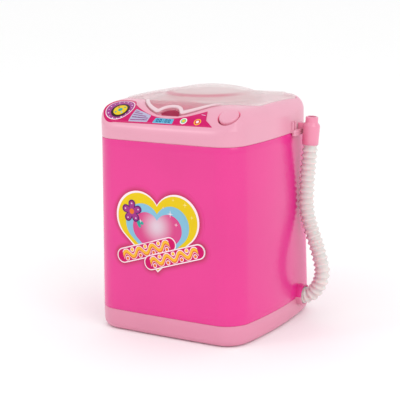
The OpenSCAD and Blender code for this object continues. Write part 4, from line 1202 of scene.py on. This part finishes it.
def front_halo():
    """The dark bloom printed round the front label, fading outwards."""
    s = Shell()
    inner, outer = label_outline(), label_outline(HALO)
    plate(s, outer, front_place, 0.02, 0.1, 0, [inner], 0.7)
    piece = s.make("front_bloom", [BLOOM], 50)
    place = np.array([v.co[:] for v in piece.data.vertices]) / MM
    away = distance(place[:, [0, 2]] - HEART[:2], inner) / HALO
    fade = piece.data.attributes.new("fade", "FLOAT", "POINT")
    fade.data.foreach_set("value", np.clip(1 - away, 0, 1) ** 1.3)
    return piece


def backing(name, loop, place, ink, spacing=1.2):
    """A label's own plate in one colour."""
    s = Shell()
    plate(s, loop, place, 0.0, LABEL_T, spacing=spacing)
    return s.make(name, [INK[ink]], 50)


panel_piece = backing("panel_strip", panel_outline(), on_top, "magenta")
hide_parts("panel_label")
sticker = backing("front_sticker", label_outline(), front_place, "white", 2.0)
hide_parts("front_label")
for piece in (panel_piece, sticker, panel_art(), front_art(), front_halo()):
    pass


# ---- finishes of the nodes that stay as the part draws them
FINISHES = (
    (STEEL, ("battery_door_screw", "coil_contacts", "plate_contact", "tub_screws", "frame_screws",
             "base_screws", "pulsator_screw", "drive_shaft", "gear_axle", "motor_shaft",
             "gearbox_screws", "motor")),
    (IVORY, ("output_gear", "reduction_gear", "gearbox_base", "gearbox_cover")),
    (WHITE, ("pulsator", "switch_plunger", "drain_elbow")),
    (BRASS, ("shaft_bush", "motor_pinion")),
    (BASE_PINK, ("battery_door",)), (TUB_PINK, ("wash_tub",)), (CELL, ("cells",)),
    (RUBBER, ("shaft_seal",)), (BLACK, ("switch_body",)), (VINYL, ("drain_tube",)))
for mat, names in FINISHES:
    for name in names:
        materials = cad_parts[name].data.materials
        materials.clear()
        materials.append(mat)


# ---- stage
FLOOR_HALF = 9
floor_mesh = bpy.data.meshes.new("floor")
floor_mesh.from_pydata([(x * FLOOR_HALF, y * FLOOR_HALF, 0)
                        for x, y in ((-1, -1), (1, -1), (1, 1), (-1, 1))], [], [(0, 1, 2, 3)])
floor_white = bpy.data.materials.new("floor_white")
floor_white.use_nodes = True
feed(floor_white, base_of(floor_white), {"Base Color": (0.98, 0.98, 0.98, 1), "Roughness": 0.8})
floor_mesh.materials.append(floor_white)
floor = placed("floor", floor_mesh)


def area(name, place, aim, size, power):
    """A square area light at a place, turned to an aim."""
    data = bpy.data.lights.new(name, "AREA")
    data.energy = power
    data.size = size
    lamp = placed(name, data)
    lamp.location = place
    lamp.rotation_euler = (Vector(aim) - Vector(place)).to_track_quat("-Z", "Y").to_euler()


area("key", (1.3, -0.6, 1.0), (0, 0, 0.05), 1.0, 5.4)
area("gleam", (-0.6, -0.74, 0.8), (0, 0, 0.1), 0.2, 1.0)
world = bpy.data.worlds.new("world")
scene.world = world
world.use_nodes = True
room = world.node_tree.nodes["Background"]
room.inputs["Color"].default_value = (1, 1, 1, 1)
room.inputs["Strength"].default_value = 1.0
scene.view_settings.view_transform = "Standard"
